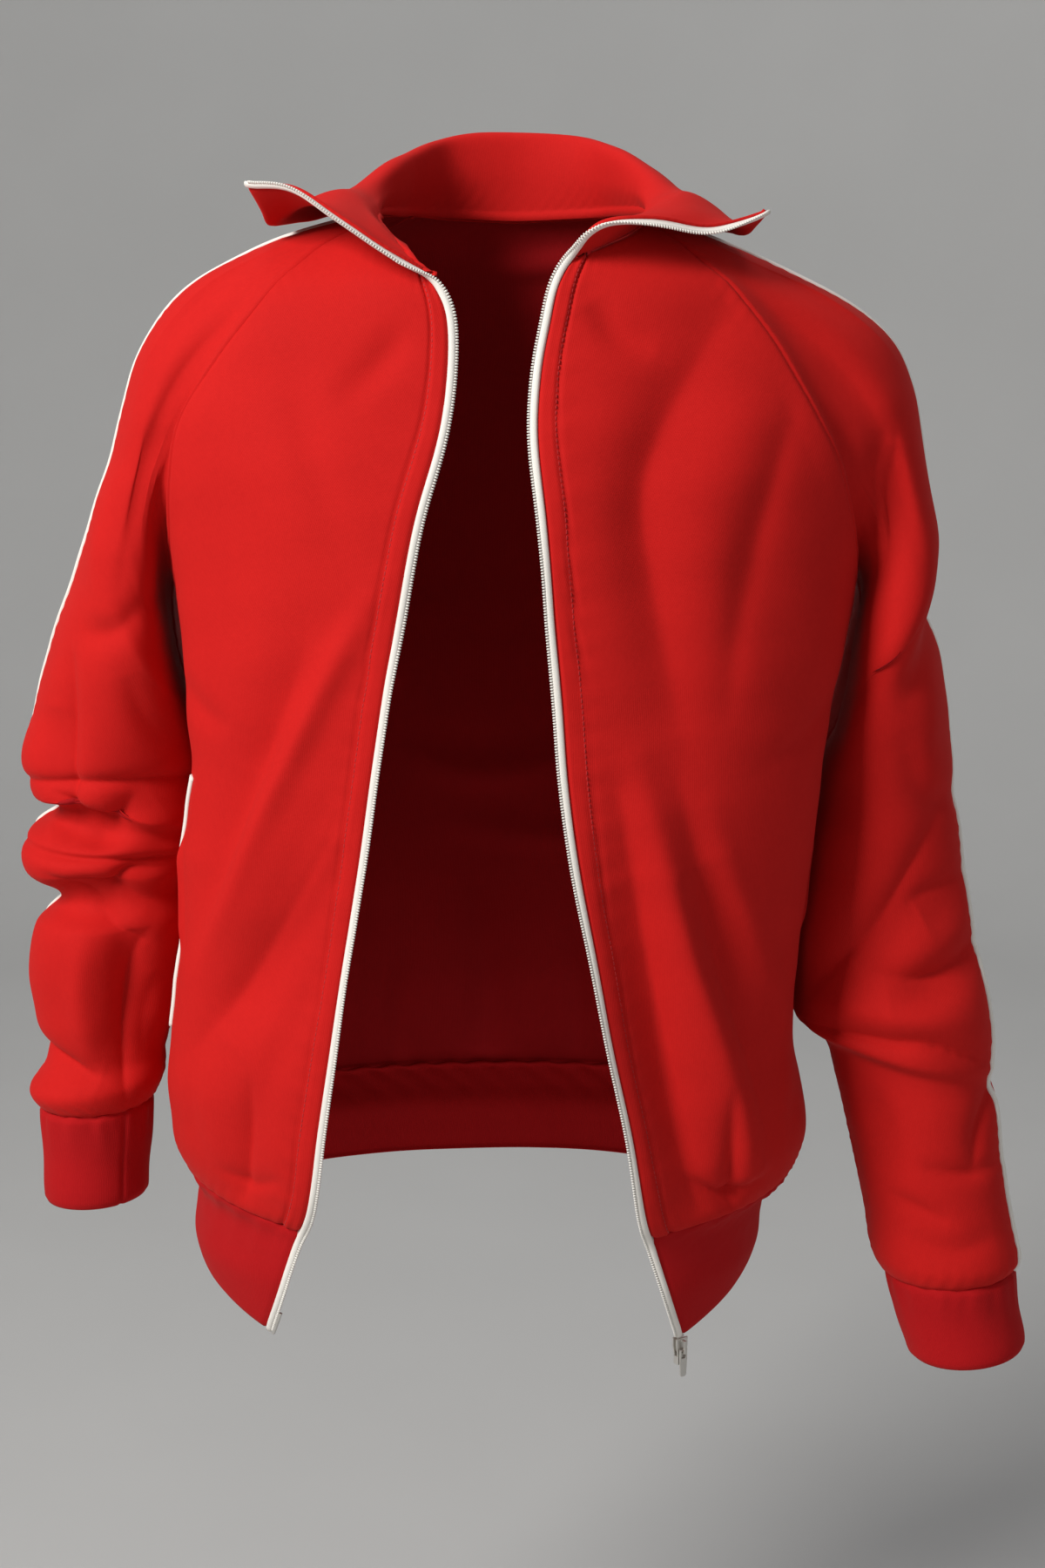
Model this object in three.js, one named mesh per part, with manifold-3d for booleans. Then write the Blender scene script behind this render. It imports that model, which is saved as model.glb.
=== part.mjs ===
import * as THREE from "three";
import loadManifold from "manifold-3d";

// Track jacket, adult size, worn open. Millimetres, +Z up, the front faces -Y.
// The origin is the middle of the neck base. Sides are the wearer's: right is -X, left is +X.

const cloth = 2.0;
const doubledCloth = 2.6;
const bandCloth = 2.8;
const seamGap = 0.25;
const tapeWidth = 5.6;
const tapeThickness = 1.6;
const pipingWidth = 5.6;
const pipingThickness = 1.8;
const laidOnGap = 0.5;
const tapeGap = 0.7;
const squareness = 2.4;
const yokeLeave = 2;
const evenPasses = 14;
const yokeArrive = { right: 1.1, left: 1.3 };
const shoulderLift = { right: 0.12, left: 0 };
const pocketRows = { first: 13, last: 20 };
const pocketColumns = {
  right: [9.2, 9.7, 10, 10, 10, 10, 10, 10.2],
  left: [11.2, 11.4, 11.6, 11.6, 11.6, 11.6, 11.6, 11.7],
};
const pocketWidth = 5.4;

// The slider at the lower end of the left tape, the tab on its bridge and the box under it.
const zip = {
  x: 105.6,
  y: -113.1,
  z: -674.1,
  turn: 37.7,
  width: 9,
  endWidth: 6.6,
  height: 11.5,
  plate: 1.1,
  slot: 2.4,
  post: { width: 2.4, low: -4.5, high: 3.6 },
  bridge: { width: 2, bar: 1.1, rise: 2, low: -4.2, high: 4.6 },
  pivot: { out: 1, up: -2 },
  pull: { width: 6, endWidth: 4.8, bottom: -20, thickness: 1.1, rail: 1.3, eyeLow: -7.6 },
  box: { width: 7, depth: 4.4, height: 6 },
  gap: 0.3,
  pin: { width: 2, start: 0.3 },
};

const raglanSteps = 10;
const neckSteps = 2;
const sideSteps = 14;
const frontColumns = 13;
const backColumns = 18;
const yokeRows = 7;
const armRows = 27;
const bandColumns = 30;
const bandRows = 3;
const cuffRows = 3;
const collarRows = 8;
const collarColumns = 30;

const palette = {
  red: { color: 0xb81418, roughness: 0.8, metalness: 0 },
  darkRed: { color: 0xa81216, roughness: 0.85, metalness: 0 },
  white: { color: 0xeee6da, roughness: 0.7, metalness: 0 },
  metal: { color: 0xc9c6bf, roughness: 0.35, metalness: 0.9 },
};

// Level sections of the body: half widths to each side, depth to the front and the back,
// and the hollow that each arm presses into its side.
const bodySections = [
  { z: -672, right: 203, left: 150, front: 143, back: 121, rightHollow: 0, leftHollow: 0 },
  { z: -632, right: 214, left: 163, front: 149, back: 125, rightHollow: 0, leftHollow: 0 },
  { z: -610, right: 212, left: 165, front: 150, back: 124, rightHollow: 0, leftHollow: 0 },
  { z: -594, right: 210, left: 169, front: 151, back: 123, rightHollow: 0, leftHollow: 0 },
  { z: -582, right: 217, left: 184, front: 155, back: 127, rightHollow: 0, leftHollow: 0 },
  { z: -565, right: 225, left: 192, front: 159, back: 130, rightHollow: 0, leftHollow: 0 },
  { z: -545, right: 231, left: 197, front: 161, back: 130, rightHollow: 8, leftHollow: 8 },
  { z: -517, right: 237, left: 196, front: 161, back: 126, rightHollow: 18, leftHollow: 14 },
  { z: -485, right: 238, left: 193, front: 160, back: 122, rightHollow: 27, leftHollow: 18 },
  { z: -430, right: 234, left: 194, front: 158, back: 119, rightHollow: 31, leftHollow: 19 },
  { z: -370, right: 233, left: 202, front: 156, back: 120, rightHollow: 36, leftHollow: 23 },
  { z: -338, right: 226, left: 207, front: 155, back: 122, rightHollow: 32, leftHollow: 25 },
  { z: -305, right: 219, left: 210, front: 154, back: 124, rightHollow: 26, leftHollow: 25 },
  { z: -270, right: 219, left: 214, front: 153, back: 127, rightHollow: 18, leftHollow: 22 },
  { z: -235, right: 218, left: 219, front: 152, back: 130, rightHollow: 14, leftHollow: 17 },
  { z: -200, right: 219, left: 221, front: 150, back: 132, rightHollow: 8, leftHollow: 8 },
  { z: -165, right: 224, left: 225, front: 148, back: 132, rightHollow: 2, leftHollow: 2 },
  { z: -130, right: 233, left: 232, front: 144, back: 130, rightHollow: 0, leftHollow: 0 },
  { z: -100, right: 239, left: 239, front: 137, back: 126, rightHollow: 0, leftHollow: 0 },
  { z: -70, right: 237, left: 236, front: 128, back: 120, rightHollow: 0, leftHollow: 0 },
  { z: -40, right: 226, left: 221, front: 120, back: 112, rightHollow: 0, leftHollow: 0 },
  { z: -13, right: 200, left: 187, front: 113, back: 103, rightHollow: 0, leftHollow: 0 },
  { z: 3, right: 167, left: 150, front: 103, back: 95, rightHollow: 0, leftHollow: 0 },
  { z: 16, right: 130, left: 118, front: 92, back: 88, rightHollow: 0, leftHollow: 0 },
  { z: 25, right: 98, left: 96, front: 79, back: 80, rightHollow: 0, leftHollow: 0 },
  { z: 34, right: 74, left: 74, front: 58, back: 66, rightHollow: 0, leftHollow: 0 },
];

// Where each front ends at the zip, by height.
const frontEdges = [
  { z: -672, right: -161, left: 109 },
  { z: -602, right: -138, left: 89 },
  { z: -574, right: -128, left: 81 },
  { z: -518, right: -119, left: 71 },
  { z: -463, right: -110, left: 59 },
  { z: -408, right: -101, left: 49 },
  { z: -354, right: -92, left: 39 },
  { z: -301, right: -84, left: 32 },
  { z: -249, right: -76, left: 28 },
  { z: -198, right: -67, left: 23 },
  { z: -147, right: -57, left: 19 },
  { z: -98, right: -43, left: 14 },
  { z: -62, right: -38, left: 16 },
  { z: -30, right: -38.5, left: 22 },
  { z: -12, right: -45, left: 26 },
  { z: 0, right: -52, left: 32 },
];

// The neck seam: degrees round from the side (the front is negative), and height.
const neckSeam = {
  right: [
    { at: 0, turn: -80.3, z: -12 },
    { at: 1, turn: -72, z: 4 },
    { at: 2, turn: -59, z: 15 },
    { at: 3, turn: -36, z: 25 },
    { at: 4, turn: -8, z: 29.5 },
    { at: 5, turn: 38, z: 31 },
    { at: 6, turn: 64, z: 29 },
    { at: 7, turn: 90, z: 27 },
  ],
  left: [
    { at: 0, turn: -81.4, z: 0 },
    { at: 1, turn: -73, z: 8 },
    { at: 2, turn: -59, z: 16 },
    { at: 3, turn: -36, z: 25 },
    { at: 4, turn: -4, z: 30 },
    { at: 5, turn: 38, z: 31 },
    { at: 6, turn: 64, z: 29 },
    { at: 7, turn: 90, z: 27 },
  ],
};
const neckCorner = { front: 3, top: 4, back: 5, middle: 7 };

// The raglan seams, from the neck down to the underarm.
const raglanSeam = [
  { at: 0.0, z: 25, right: -36, left: -36, backZ: 31, back: 38 },
  { at: 0.12, z: 14, right: -41, left: -42, backZ: 19, back: 43 },
  { at: 0.25, z: -1, right: -47, left: -48, backZ: 3, back: 49 },
  { at: 0.38, z: -25, right: -48.5, left: -51, backZ: -22, back: 51 },
  { at: 0.5, z: -55, right: -44.5, left: -49.5, backZ: -53, back: 47 },
  { at: 0.62, z: -90, right: -36.5, left: -44, backZ: -88, back: 40 },
  { at: 0.72, z: -120, right: -31, left: -36, backZ: -120, back: 33 },
  { at: 0.82, z: -155, right: -23, left: -26, backZ: -155, back: 24 },
  { at: 0.91, z: -195, right: -12, left: -13, backZ: -195, back: 12 },
  { at: 1.0, z: -235, right: 0, left: 0, backZ: -235, back: 0 },
];
const underarmZ = -235;
const bandTop = { side: -571, front: -592, back: -566 };
const bandBottom = { side: -634, front: -668, back: -630 };

// Sections down each sleeve, from the top of the upper arm to the cuff seam: its outer and inner
// points, its middle, its depth to the front and the back, and the turn of the top seam backwards.
const sleeveSections = {
  right: [
    { at: 0, outX: -259, outZ: -135, inX: -216, inZ: -264, midY: 3, front: 79, back: 77, turn: -12 },
    { at: 2, outX: -280, outZ: -192, inX: -214, inZ: -284, midY: 6, front: 73, back: 74, turn: -6 },
    { at: 4, outX: -302, outZ: -247, inX: -207, inZ: -306, midY: 9, front: 68, back: 70, turn: 4 },
    { at: 5.4, outX: -314, outZ: -283, inX: -205, inZ: -324, midY: 10, front: 65, back: 66, turn: 10 },
    { at: 6.6, outX: -323, outZ: -318, inX: -206, inZ: -341, midY: 10, front: 65, back: 63, turn: 16 },
    { at: 7.4, outX: -317, outZ: -340, inX: -208, inZ: -354, midY: 9, front: 62, back: 60, turn: 18 },
    { at: 8.0, outX: -301, outZ: -349, inX: -214, inZ: -362, midY: 8, front: 53, back: 55, turn: 19 },
    { at: 8.8, outX: -322, outZ: -364, inX: -209, inZ: -372, midY: 7, front: 61, back: 59, turn: 20 },
    { at: 9.6, outX: -321, outZ: -388, inX: -210, inZ: -386, midY: 5, front: 60, back: 57, turn: 20 },
    { at: 10.4, outX: -300, outZ: -406, inX: -217, inZ: -400, midY: 3, front: 50, back: 51, turn: 20 },
    { at: 11.2, outX: -314, outZ: -424, inX: -213, inZ: -418, midY: 1, front: 56, back: 53, turn: 20 },
    { at: 12.6, outX: -320, outZ: -456, inX: -217, inZ: -448, midY: 0, front: 53, back: 51, turn: 20 },
    { at: 14, outX: -317, outZ: -486, inX: -223, inZ: -480, midY: -2, front: 49, back: 48, turn: 20 },
    { at: 15.2, outX: -313, outZ: -516, inX: -232, inZ: -508, midY: -5, front: 44, back: 44, turn: 20 },
    { at: 16, outX: -322, outZ: -535, inX: -233, inZ: -526, midY: -8, front: 47, back: 45, turn: 20 },
    { at: 16.8, outX: -315, outZ: -548, inX: -240, inZ: -543, midY: -10, front: 39, back: 38, turn: 20 },
  ],
  left: [
    { at: 0, outX: 261, outZ: -130, inX: 219, inZ: -262, midY: 3, front: 78, back: 77, turn: 0 },
    { at: 2, outX: 267, outZ: -176, inX: 217, inZ: -280, midY: 6, front: 74, back: 75, turn: 0 },
    { at: 3.4, outX: 265, outZ: -212, inX: 213, inZ: -296, midY: 8, front: 71, back: 72, turn: 0 },
    { at: 4.8, outX: 276, outZ: -252, inX: 204, inZ: -314, midY: 9, front: 69, back: 69, turn: 0 },
    { at: 6.2, outX: 283, outZ: -296, inX: 196, inZ: -342, midY: 8, front: 66, back: 66, turn: 0 },
    { at: 7.6, outX: 287, outZ: -340, inX: 189, inZ: -374, midY: 5, front: 65, back: 63, turn: -4 },
    { at: 9, outX: 294, outZ: -386, inX: 185, inZ: -412, midY: 0, front: 64, back: 60, turn: -8 },
    { at: 10.4, outX: 304, outZ: -434, inX: 183, inZ: -448, midY: -5, front: 64, back: 58, turn: -10 },
    { at: 11.4, outX: 313, outZ: -476, inX: 184, inZ: -474, midY: -10, front: 65, back: 57, turn: -12 },
    { at: 12.1, outX: 317, outZ: -511, inX: 187, inZ: -488, midY: -13, front: 63, back: 56, turn: -12 },
    { at: 12.6, outX: 315, outZ: -524, inX: 204, inZ: -499, midY: -15, front: 54, back: 53, turn: -12 },
    { at: 13.4, outX: 319, outZ: -542, inX: 213, inZ: -528, midY: -19, front: 53, back: 51, turn: -12 },
    { at: 14.4, outX: 323, outZ: -575, inX: 222, inZ: -566, midY: -25, front: 51, back: 49, turn: -12 },
    { at: 15.6, outX: 330, outZ: -616, inX: 232, inZ: -612, midY: -32, front: 48, back: 46, turn: -12 },
    { at: 16.4, outX: 335, outZ: -640, inX: 237, inZ: -640, midY: -37, front: 47, back: 45, turn: -12 },
    { at: 16.8, outX: 331, outZ: -650, inX: 245, inZ: -654, midY: -39, front: 42, back: 41, turn: -12 },
  ],
};

// Sections of each cuff, from the seam to the open end.
const cuffSections = {
  right: [
    { at: 0, outX: -315, outZ: -548, inX: -240, inZ: -543, midY: -10, front: 39, back: 38 },
    { at: 1, outX: -316, outZ: -565, inX: -242, inZ: -562, midY: -10, front: 37, back: 36 },
    { at: 2, outX: -315, outZ: -589, inX: -244, inZ: -587, midY: -10, front: 36, back: 35 },
    { at: 3, outX: -315, outZ: -612, inX: -246, inZ: -609, midY: -11, front: 35, back: 34 },
  ],
  left: [
    { at: 0, outX: 331, outZ: -650, inX: 245, inZ: -654, midY: -39, front: 42, back: 41 },
    { at: 1, outX: 334, outZ: -667, inX: 251, inZ: -673, midY: -41, front: 40, back: 39 },
    { at: 2, outX: 337, outZ: -684, inX: 256, inZ: -692, midY: -43, front: 39, back: 38 },
    { at: 3, outX: 340, outZ: -701, inX: 263, inZ: -711, midY: -45, front: 38, back: 37 },
  ],
};

// Ribs of the collar from its right point round the back to its left point. The foot of each is on
// the neck seam; stand, roll, fall and edge are the points that the doubled cloth passes.
const collarRibs = [
  { seam: 0, side: "right", stand: [-77, -114, 7], roll: [-104, -110, 24],
    fall: [-130, -98, 40], edge: [-157, -80, 42] },
  { seam: 0.45, side: "right", stand: [-82, -103, 12], roll: [-106, -96, 27],
    fall: [-130, -82, 36], edge: [-151, -66, 29] },
  { seam: 1, side: "right", stand: [-84, -88, 19], roll: [-107, -77, 32],
    fall: [-128, -60, 31], edge: [-147, -50, 20] },
  { seam: 2, side: "right", stand: [-88, -64, 30], roll: [-105, -48, 39],
    fall: [-123, -32, 33], edge: [-139, -22, 21] },
  { seam: 3, side: "right", stand: [-85, -32, 34], roll: [-94, -18, 43],
    fall: [-108, -4, 37], edge: [-129, 4, 23] },
  { seam: 4, side: "right", stand: [-78, 4, 43], roll: [-79, 12, 55],
    fall: [-89, 22, 50], edge: [-112, 32, 28] },
  { seam: 5, side: "right", stand: [-62, 42, 50], roll: [-60, 46, 68],
    fall: [-68, 57, 62], edge: [-85, 70, 37] },
  { seam: 6, side: "right", stand: [-39, 66, 53], roll: [-38, 71, 76],
    fall: [-42, 81, 71], edge: [-49, 93, 46] },
  { seam: 7, side: "left", stand: [0, 76, 53], roll: [0, 79, 78],
    fall: [0, 90, 74], edge: [0, 101, 48] },
  { seam: 6, side: "left", stand: [39, 66, 53], roll: [38, 71, 76],
    fall: [42, 81, 71], edge: [49, 93, 46] },
  { seam: 5, side: "left", stand: [62, 42, 50], roll: [61, 46, 69],
    fall: [69, 57, 63], edge: [85, 70, 36] },
  { seam: 4, side: "left", stand: [78, 4, 43], roll: [80, 12, 56],
    fall: [91, 22, 50], edge: [110, 32, 26] },
  { seam: 3, side: "left", stand: [84, -32, 35], roll: [95, -18, 43],
    fall: [108, -5, 36], edge: [124, 4, 19] },
  { seam: 2, side: "left", stand: [84, -66, 30], roll: [103, -50, 38],
    fall: [120, -36, 31], edge: [134, -26, 15] },
  { seam: 1, side: "left", stand: [72, -92, 24], roll: [98, -78, 30],
    fall: [122, -62, 26], edge: [141, -50, 15] },
  { seam: 0.45, side: "left", stand: [60, -105, 21], roll: [91, -95, 26],
    fall: [120, -80, 22], edge: [146, -65, 20] },
  { seam: 0, side: "left", stand: [51, -113, 19], roll: [84, -106, 22],
    fall: [118, -93, 18], edge: [151, -76, 27] },
];

// The largest folds on the fronts: a run of places across and up, half width, and depth inwards
// (a ridge is negative).
const frontFolds = {
  right: [
    { width: 26, depth: 7, run: [[-165, -300], [-178, -360], [-195, -410], [-205, -450]] },
    { width: 22, depth: -6, run: [[-132, -290], [-160, -345], [-185, -400], [-212, -448]] },
    { width: 26, depth: 8, run: [[-118, -365], [-145, -410], [-165, -440], [-182, -470]] },
    { width: 16, depth: 9, run: [[-164, -500], [-168, -545], [-160, -580]] },
  ],
  left: [
    { width: 26, depth: 8, run: [[116, -50], [100, -85], [85, -120], [82, -165], [92, -225], [100, -275]] },
    { width: 22, depth: 6, run: [[166, -100], [154, -150], [145, -190], [137, -220]] },
    { width: 20, depth: 12, run: [[66, -360], [80, -420], [92, -470], [108, -530], [118, -575]] },
    { width: 22, depth: -8, run: [[82, -330], [95, -395], [110, -450], [130, -510], [142, -550]] },
    { width: 22, depth: 6, run: [[108, -355], [122, -400], [134, -450]] },
  ],
};
const sleeveFolds = {
  right: [
    { width: 14, depth: 6, run: [[-296, -275], [-296, -330]] },
    { width: 14, depth: 7, run: [[-300, -358], [-262, -350], [-226, -334]] },
    { width: 12, depth: 6, run: [[-300, -406], [-262, -394], [-228, -378]] },
    { width: 16, depth: 8, run: [[-252, -412], [-246, -455], [-256, -505]] },
  ],
  left: [
    { width: 20, depth: 6, run: [[232, -108], [230, -140], [230, -172]] },
    { width: 20, depth: -8, run: [[254, -160], [246, -200], [232, -240], [220, -300]] },
    { width: 16, depth: 6, run: [[270, -365], [250, -400], [226, -432], [196, -470]] },
    { width: 14, depth: 5, run: [[262, -408], [290, -396]] },
    { width: 14, depth: 6, run: [[304, -437], [270, -452], [238, -460]] },
  ],
};
const backFolds = [
  { width: 30, depth: 8, run: [[-150, -190], [-120, -240], [-80, -290]] },
  { width: 30, depth: 8, run: [[150, -200], [115, -250], [70, -310]] },
  { width: 26, depth: 7, run: [[-120, -380], [-135, -460], [-140, -545]] },
  { width: 26, depth: 8, run: [[95, -400], [110, -470], [120, -550]] },
  { width: 24, depth: 6, run: [[-30, -430], [-20, -500], [-24, -560]] },
];

const sideSign = { right: -1, left: 1 };
const radians = Math.PI / 180;

// A smooth curve through the rows of a table, in one of its columns.
function column(rows, key, name, at) {
  let i = 0;
  while (i < rows.length - 2 && at > rows[i + 1][key]) i += 1;
  const a = rows[i];
  const b = rows[i + 1];
  const span = b[key] - a[key];
  const slope = (k) => {
    const low = rows[Math.max(k - 1, 0)];
    const high = rows[Math.min(k + 1, rows.length - 1)];
    return (high[name] - low[name]) / (high[key] - low[key]);
  };
  const t = Math.min(Math.max((at - a[key]) / span, 0), 1);
  const h = t * t * (3 - 2 * t);
  const bend = span * t * (1 - t) * ((1 - t) * slope(i) - t * slope(i + 1));
  return a[name] * (1 - h) + b[name] * h + bend;
}

const mix = (a, b, t) => a + (b - a) * t;

function smooth(low, high, value) {
  const t = Math.min(Math.max((value - low) / (high - low), 0), 1);
  return t * t * (3 - 2 * t);
}

// A point of the body: the turn is in degrees from the side, with the front negative.
function bodyPoint(side, turn, z) {
  const halfWidth = column(bodySections, "z", side, z);
  const depth = column(bodySections, "z", turn < 0 ? "front" : "back", z);
  const hollow = column(bodySections, "z", `${side}Hollow`, z) * Math.exp(-(((turn - 15) / 30) ** 2));
  const c = Math.cos(turn * radians);
  const s = Math.sin(turn * radians);
  const power = 2 / squareness;
  const x = halfWidth * Math.sign(c) * Math.abs(c) ** power - hollow * Math.max(c, 0);
  const y = depth * Math.sign(s) * Math.abs(s) ** power;
  return new THREE.Vector3(sideSign[side] * x, y, z);
}

// The outward direction of the body there, from its slopes round and up.
function bodyOutward(side, turn, z) {
  const round = bodyPoint(side, turn + 1, z).sub(bodyPoint(side, turn - 1, z));
  const up = bodyPoint(side, turn, z + 2).sub(bodyPoint(side, turn, z - 2));
  return round.cross(up).multiplyScalar(sideSign[side]).normalize();
}

function edgeTurn(side, z) {
  const x = column(frontEdges, "z", side, z) * sideSign[side];
  const halfWidth = column(bodySections, "z", side, z);
  return -Math.acos(Math.min(Math.max(x / halfWidth, 0.01), 1) ** (squareness / 2)) / radians;
}

// How far a place lies in a fold: one along its run, fading to nothing at its sides and ends.
function foldDepth(folds, x, z) {
  let total = 0;
  for (const fold of folds) {
    let nearest = Infinity;
    let along = 0;
    const last = fold.run.length - 1;
    for (let k = 0; k < last; k += 1) {
      const [ax, az] = fold.run[k];
      const [bx, bz] = fold.run[k + 1];
      const lengthSquared = (bx - ax) ** 2 + (bz - az) ** 2;
      const t = Math.min(Math.max(((x - ax) * (bx - ax) + (z - az) * (bz - az)) / lengthSquared, 0), 1);
      const distance = Math.hypot(x - mix(ax, bx, t), z - mix(az, bz, t));
      if (distance < nearest) {
        nearest = distance;
        along = (k + t) / last;
      }
    }
    const ends = Math.sin(Math.PI * mix(0.12, 0.88, along));
    total += fold.depth * ends * Math.exp(-((nearest / fold.width) ** 2));
  }
  return total;
}

// A closed wall from a grid of outer points and the outward direction at each. The borders named
// in gaps are drawn in, so that neighbours stay apart at a seam.
function wall(grid, outward, thickness, gaps, wrapped = false) {
  const rows = grid.length;
  const columns = grid[0].length;
  const outer = grid.map((row) => row.map((p) => p.clone()));
  // The pull is square to the border, whatever the slant of the grid.
  const pull = (r, c, inner, before, after) => {
    const border = after.clone().sub(before).normalize();
    const step = inner.clone().sub(grid[r][c]);
    step.addScaledVector(border, -step.dot(border));
    outer[r][c].add(step.normalize().multiplyScalar(seamGap));
  };
  const beside = (k, count) => [Math.max(k - 1, 0), Math.min(k + 1, count - 1)];
  for (let c = 0; c < columns; c += 1) {
    const [before, after] = beside(c, columns);
    const last = rows - 1;
    if (gaps.includes("top")) pull(0, c, grid[1][c], grid[0][before], grid[0][after]);
    if (gaps.includes("bottom")) pull(last, c, grid[last - 1][c], grid[last][before], grid[last][after]);
  }
  for (let r = 0; r < rows; r += 1) {
    const [before, after] = beside(r, rows);
    const last = columns - 1;
    if (gaps.includes("first")) pull(r, 0, grid[r][1], grid[before][0], grid[after][0]);
    if (gaps.includes("last")) pull(r, last, grid[r][last - 1], grid[before][last], grid[after][last]);
  }
  const positions = [];
  for (let r = 0; r < rows; r += 1) {
    for (let c = 0; c < columns; c += 1) positions.push(...outer[r][c].toArray());
  }
  for (let r = 0; r < rows; r += 1) {
    for (let c = 0; c < columns; c += 1) {
      const inner = outer[r][c].clone().addScaledVector(outward[r][c], -thickness);
      positions.push(...inner.toArray());
    }
  }
  const inside = rows * columns;
  const at = (r, c) => r * columns + (c % columns);
  const index = [];
  const quad = (a, b, c, d) => index.push(a, b, c, a, c, d);
  const spans = wrapped ? columns : columns - 1;
  for (let r = 0; r < rows - 1; r += 1) {
    for (let c = 0; c < spans; c += 1) {
      quad(at(r, c), at(r + 1, c), at(r + 1, c + 1), at(r, c + 1));
      quad(inside + at(r, c), inside + at(r, c + 1), inside + at(r + 1, c + 1), inside + at(r + 1, c));
    }
  }
  for (let c = 0; c < spans; c += 1) {
    quad(at(0, c), at(0, c + 1), inside + at(0, c + 1), inside + at(0, c));
    const r = rows - 1;
    quad(at(r, c), inside + at(r, c), inside + at(r, c + 1), at(r, c + 1));
  }
  if (!wrapped) {
    for (let r = 0; r < rows - 1; r += 1) {
      quad(at(r, 0), inside + at(r, 0), inside + at(r + 1, 0), at(r + 1, 0));
      const c = columns - 1;
      quad(at(r, c), at(r + 1, c), inside + at(r + 1, c), inside + at(r, c));
    }
  }
  const geometry = new THREE.BufferGeometry();
  geometry.setAttribute("position", new THREE.Float32BufferAttribute(positions, 3));
  if (signedVolume(positions, index) < 0) index.reverse();
  geometry.setIndex(index);
  geometry.computeVertexNormals();
  return geometry;
}

function signedVolume(positions, index) {
  const point = (i) => new THREE.Vector3().fromArray(positions, 3 * i);
  let volume = 0;
  for (let i = 0; i < index.length; i += 3) {
    volume += point(index[i]).dot(point(index[i + 1]).cross(point(index[i + 2])));
  }
  return volume / 6;
}

// Outward directions of a tube's grid, from its own slopes, all turned away from its middle line.
function gridOutward(grid, wrapped, middle) {
  const rows = grid.length;
  const columns = grid[0].length;
  let away = 0;
  const directions = grid.map((row, r) =>
    row.map((p, c) => {
      const before = wrapped ? (c + columns - 1) % columns : Math.max(c - 1, 0);
      const after = wrapped ? (c + 1) % columns : Math.min(c + 1, columns - 1);
      const across = row[after].clone().sub(row[before]);
      const along = grid[Math.min(r + 1, rows - 1)][c].clone().sub(grid[Math.max(r - 1, 0)][c]);
      const n = across.cross(along).normalize();
      away += n.dot(p.clone().sub(middle[r]));
      return n;
    }),
  );
  if (away < 0) directions.flat().forEach((n) => n.negate());
  return directions;
}

const manifold = await loadManifold();
manifold.setup();
const group = new THREE.Group();

function add(name, geometry, look) {
  const mesh = new THREE.Mesh(geometry, new THREE.MeshStandardMaterial(look));
  mesh.name = name;
  group.add(mesh);
}

// Body rows: the raglan steps down to the underarm, then the side seam down to the waistband.
function outerEnd(side, row, toFront) {
  if (row <= raglanSteps) {
    const at = row / raglanSteps;
    if (toFront) {
      return { turn: column(raglanSeam, "at", side, at), z: column(raglanSeam, "at", "z", at) };
    }
    return { turn: column(raglanSeam, "at", "back", at), z: column(raglanSeam, "at", "backZ", at) };
  }
  return { turn: 0, z: mix(underarmZ, bandTop.side, (row - raglanSteps) / sideSteps) };
}

const bodyRows = raglanSteps + sideSteps;

// One front: each row runs from the zip edge to the raglan or side seam, and the top row
// bends to the neck seam. Folds fade out at the seams.
function frontPanel(side) {
  const grid = [];
  const outward = [];
  const neck = neckSeam[side];
  const neckTop = neck[0].z;
  for (let r = 0; r <= bodyRows; r += 1) {
    const down = r / bodyRows;
    const end = outerEnd(side, r, true);
    const edgeZ = mix(neckTop, bandTop.front, down);
    const startTurn = edgeTurn(side, edgeZ);
    const points = [];
    const directions = [];
    for (let c = 0; c <= frontColumns; c += 1) {
      const u = c / frontColumns;
      const neckAt = u * neckCorner.front;
      const bend = (1 - smooth(0, 0.3, down)) ** 2;
      const topTurn = column(neck, "at", "turn", neckAt) - mix(neck[0].turn, neck[3].turn, u);
      const topZ = column(neck, "at", "z", neckAt) - mix(neckTop, neck[3].z, u);
      const turn = mix(startTurn, end.turn, u) + topTurn * bend;
      const z = mix(edgeZ, end.z, u) + topZ * bend;
      const direction = bodyOutward(side, turn, z);
      const point = bodyPoint(side, turn, z);
      const fade = smooth(0, 0.12, 1 - u) * smooth(0, 0.06, down) * smooth(0, 0.05, 1 - down);
      point.addScaledVector(direction, -fade * foldDepth(frontFolds[side], point.x, z));
      points.push(point);
      const onRaglan = c === frontColumns && r <= raglanSteps;
      directions.push(onRaglan ? seamDirection(side, r, true) : direction);
    }
    grid.push(points);
    outward.push(directions);
  }
  return { grid, outward };
}

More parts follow.
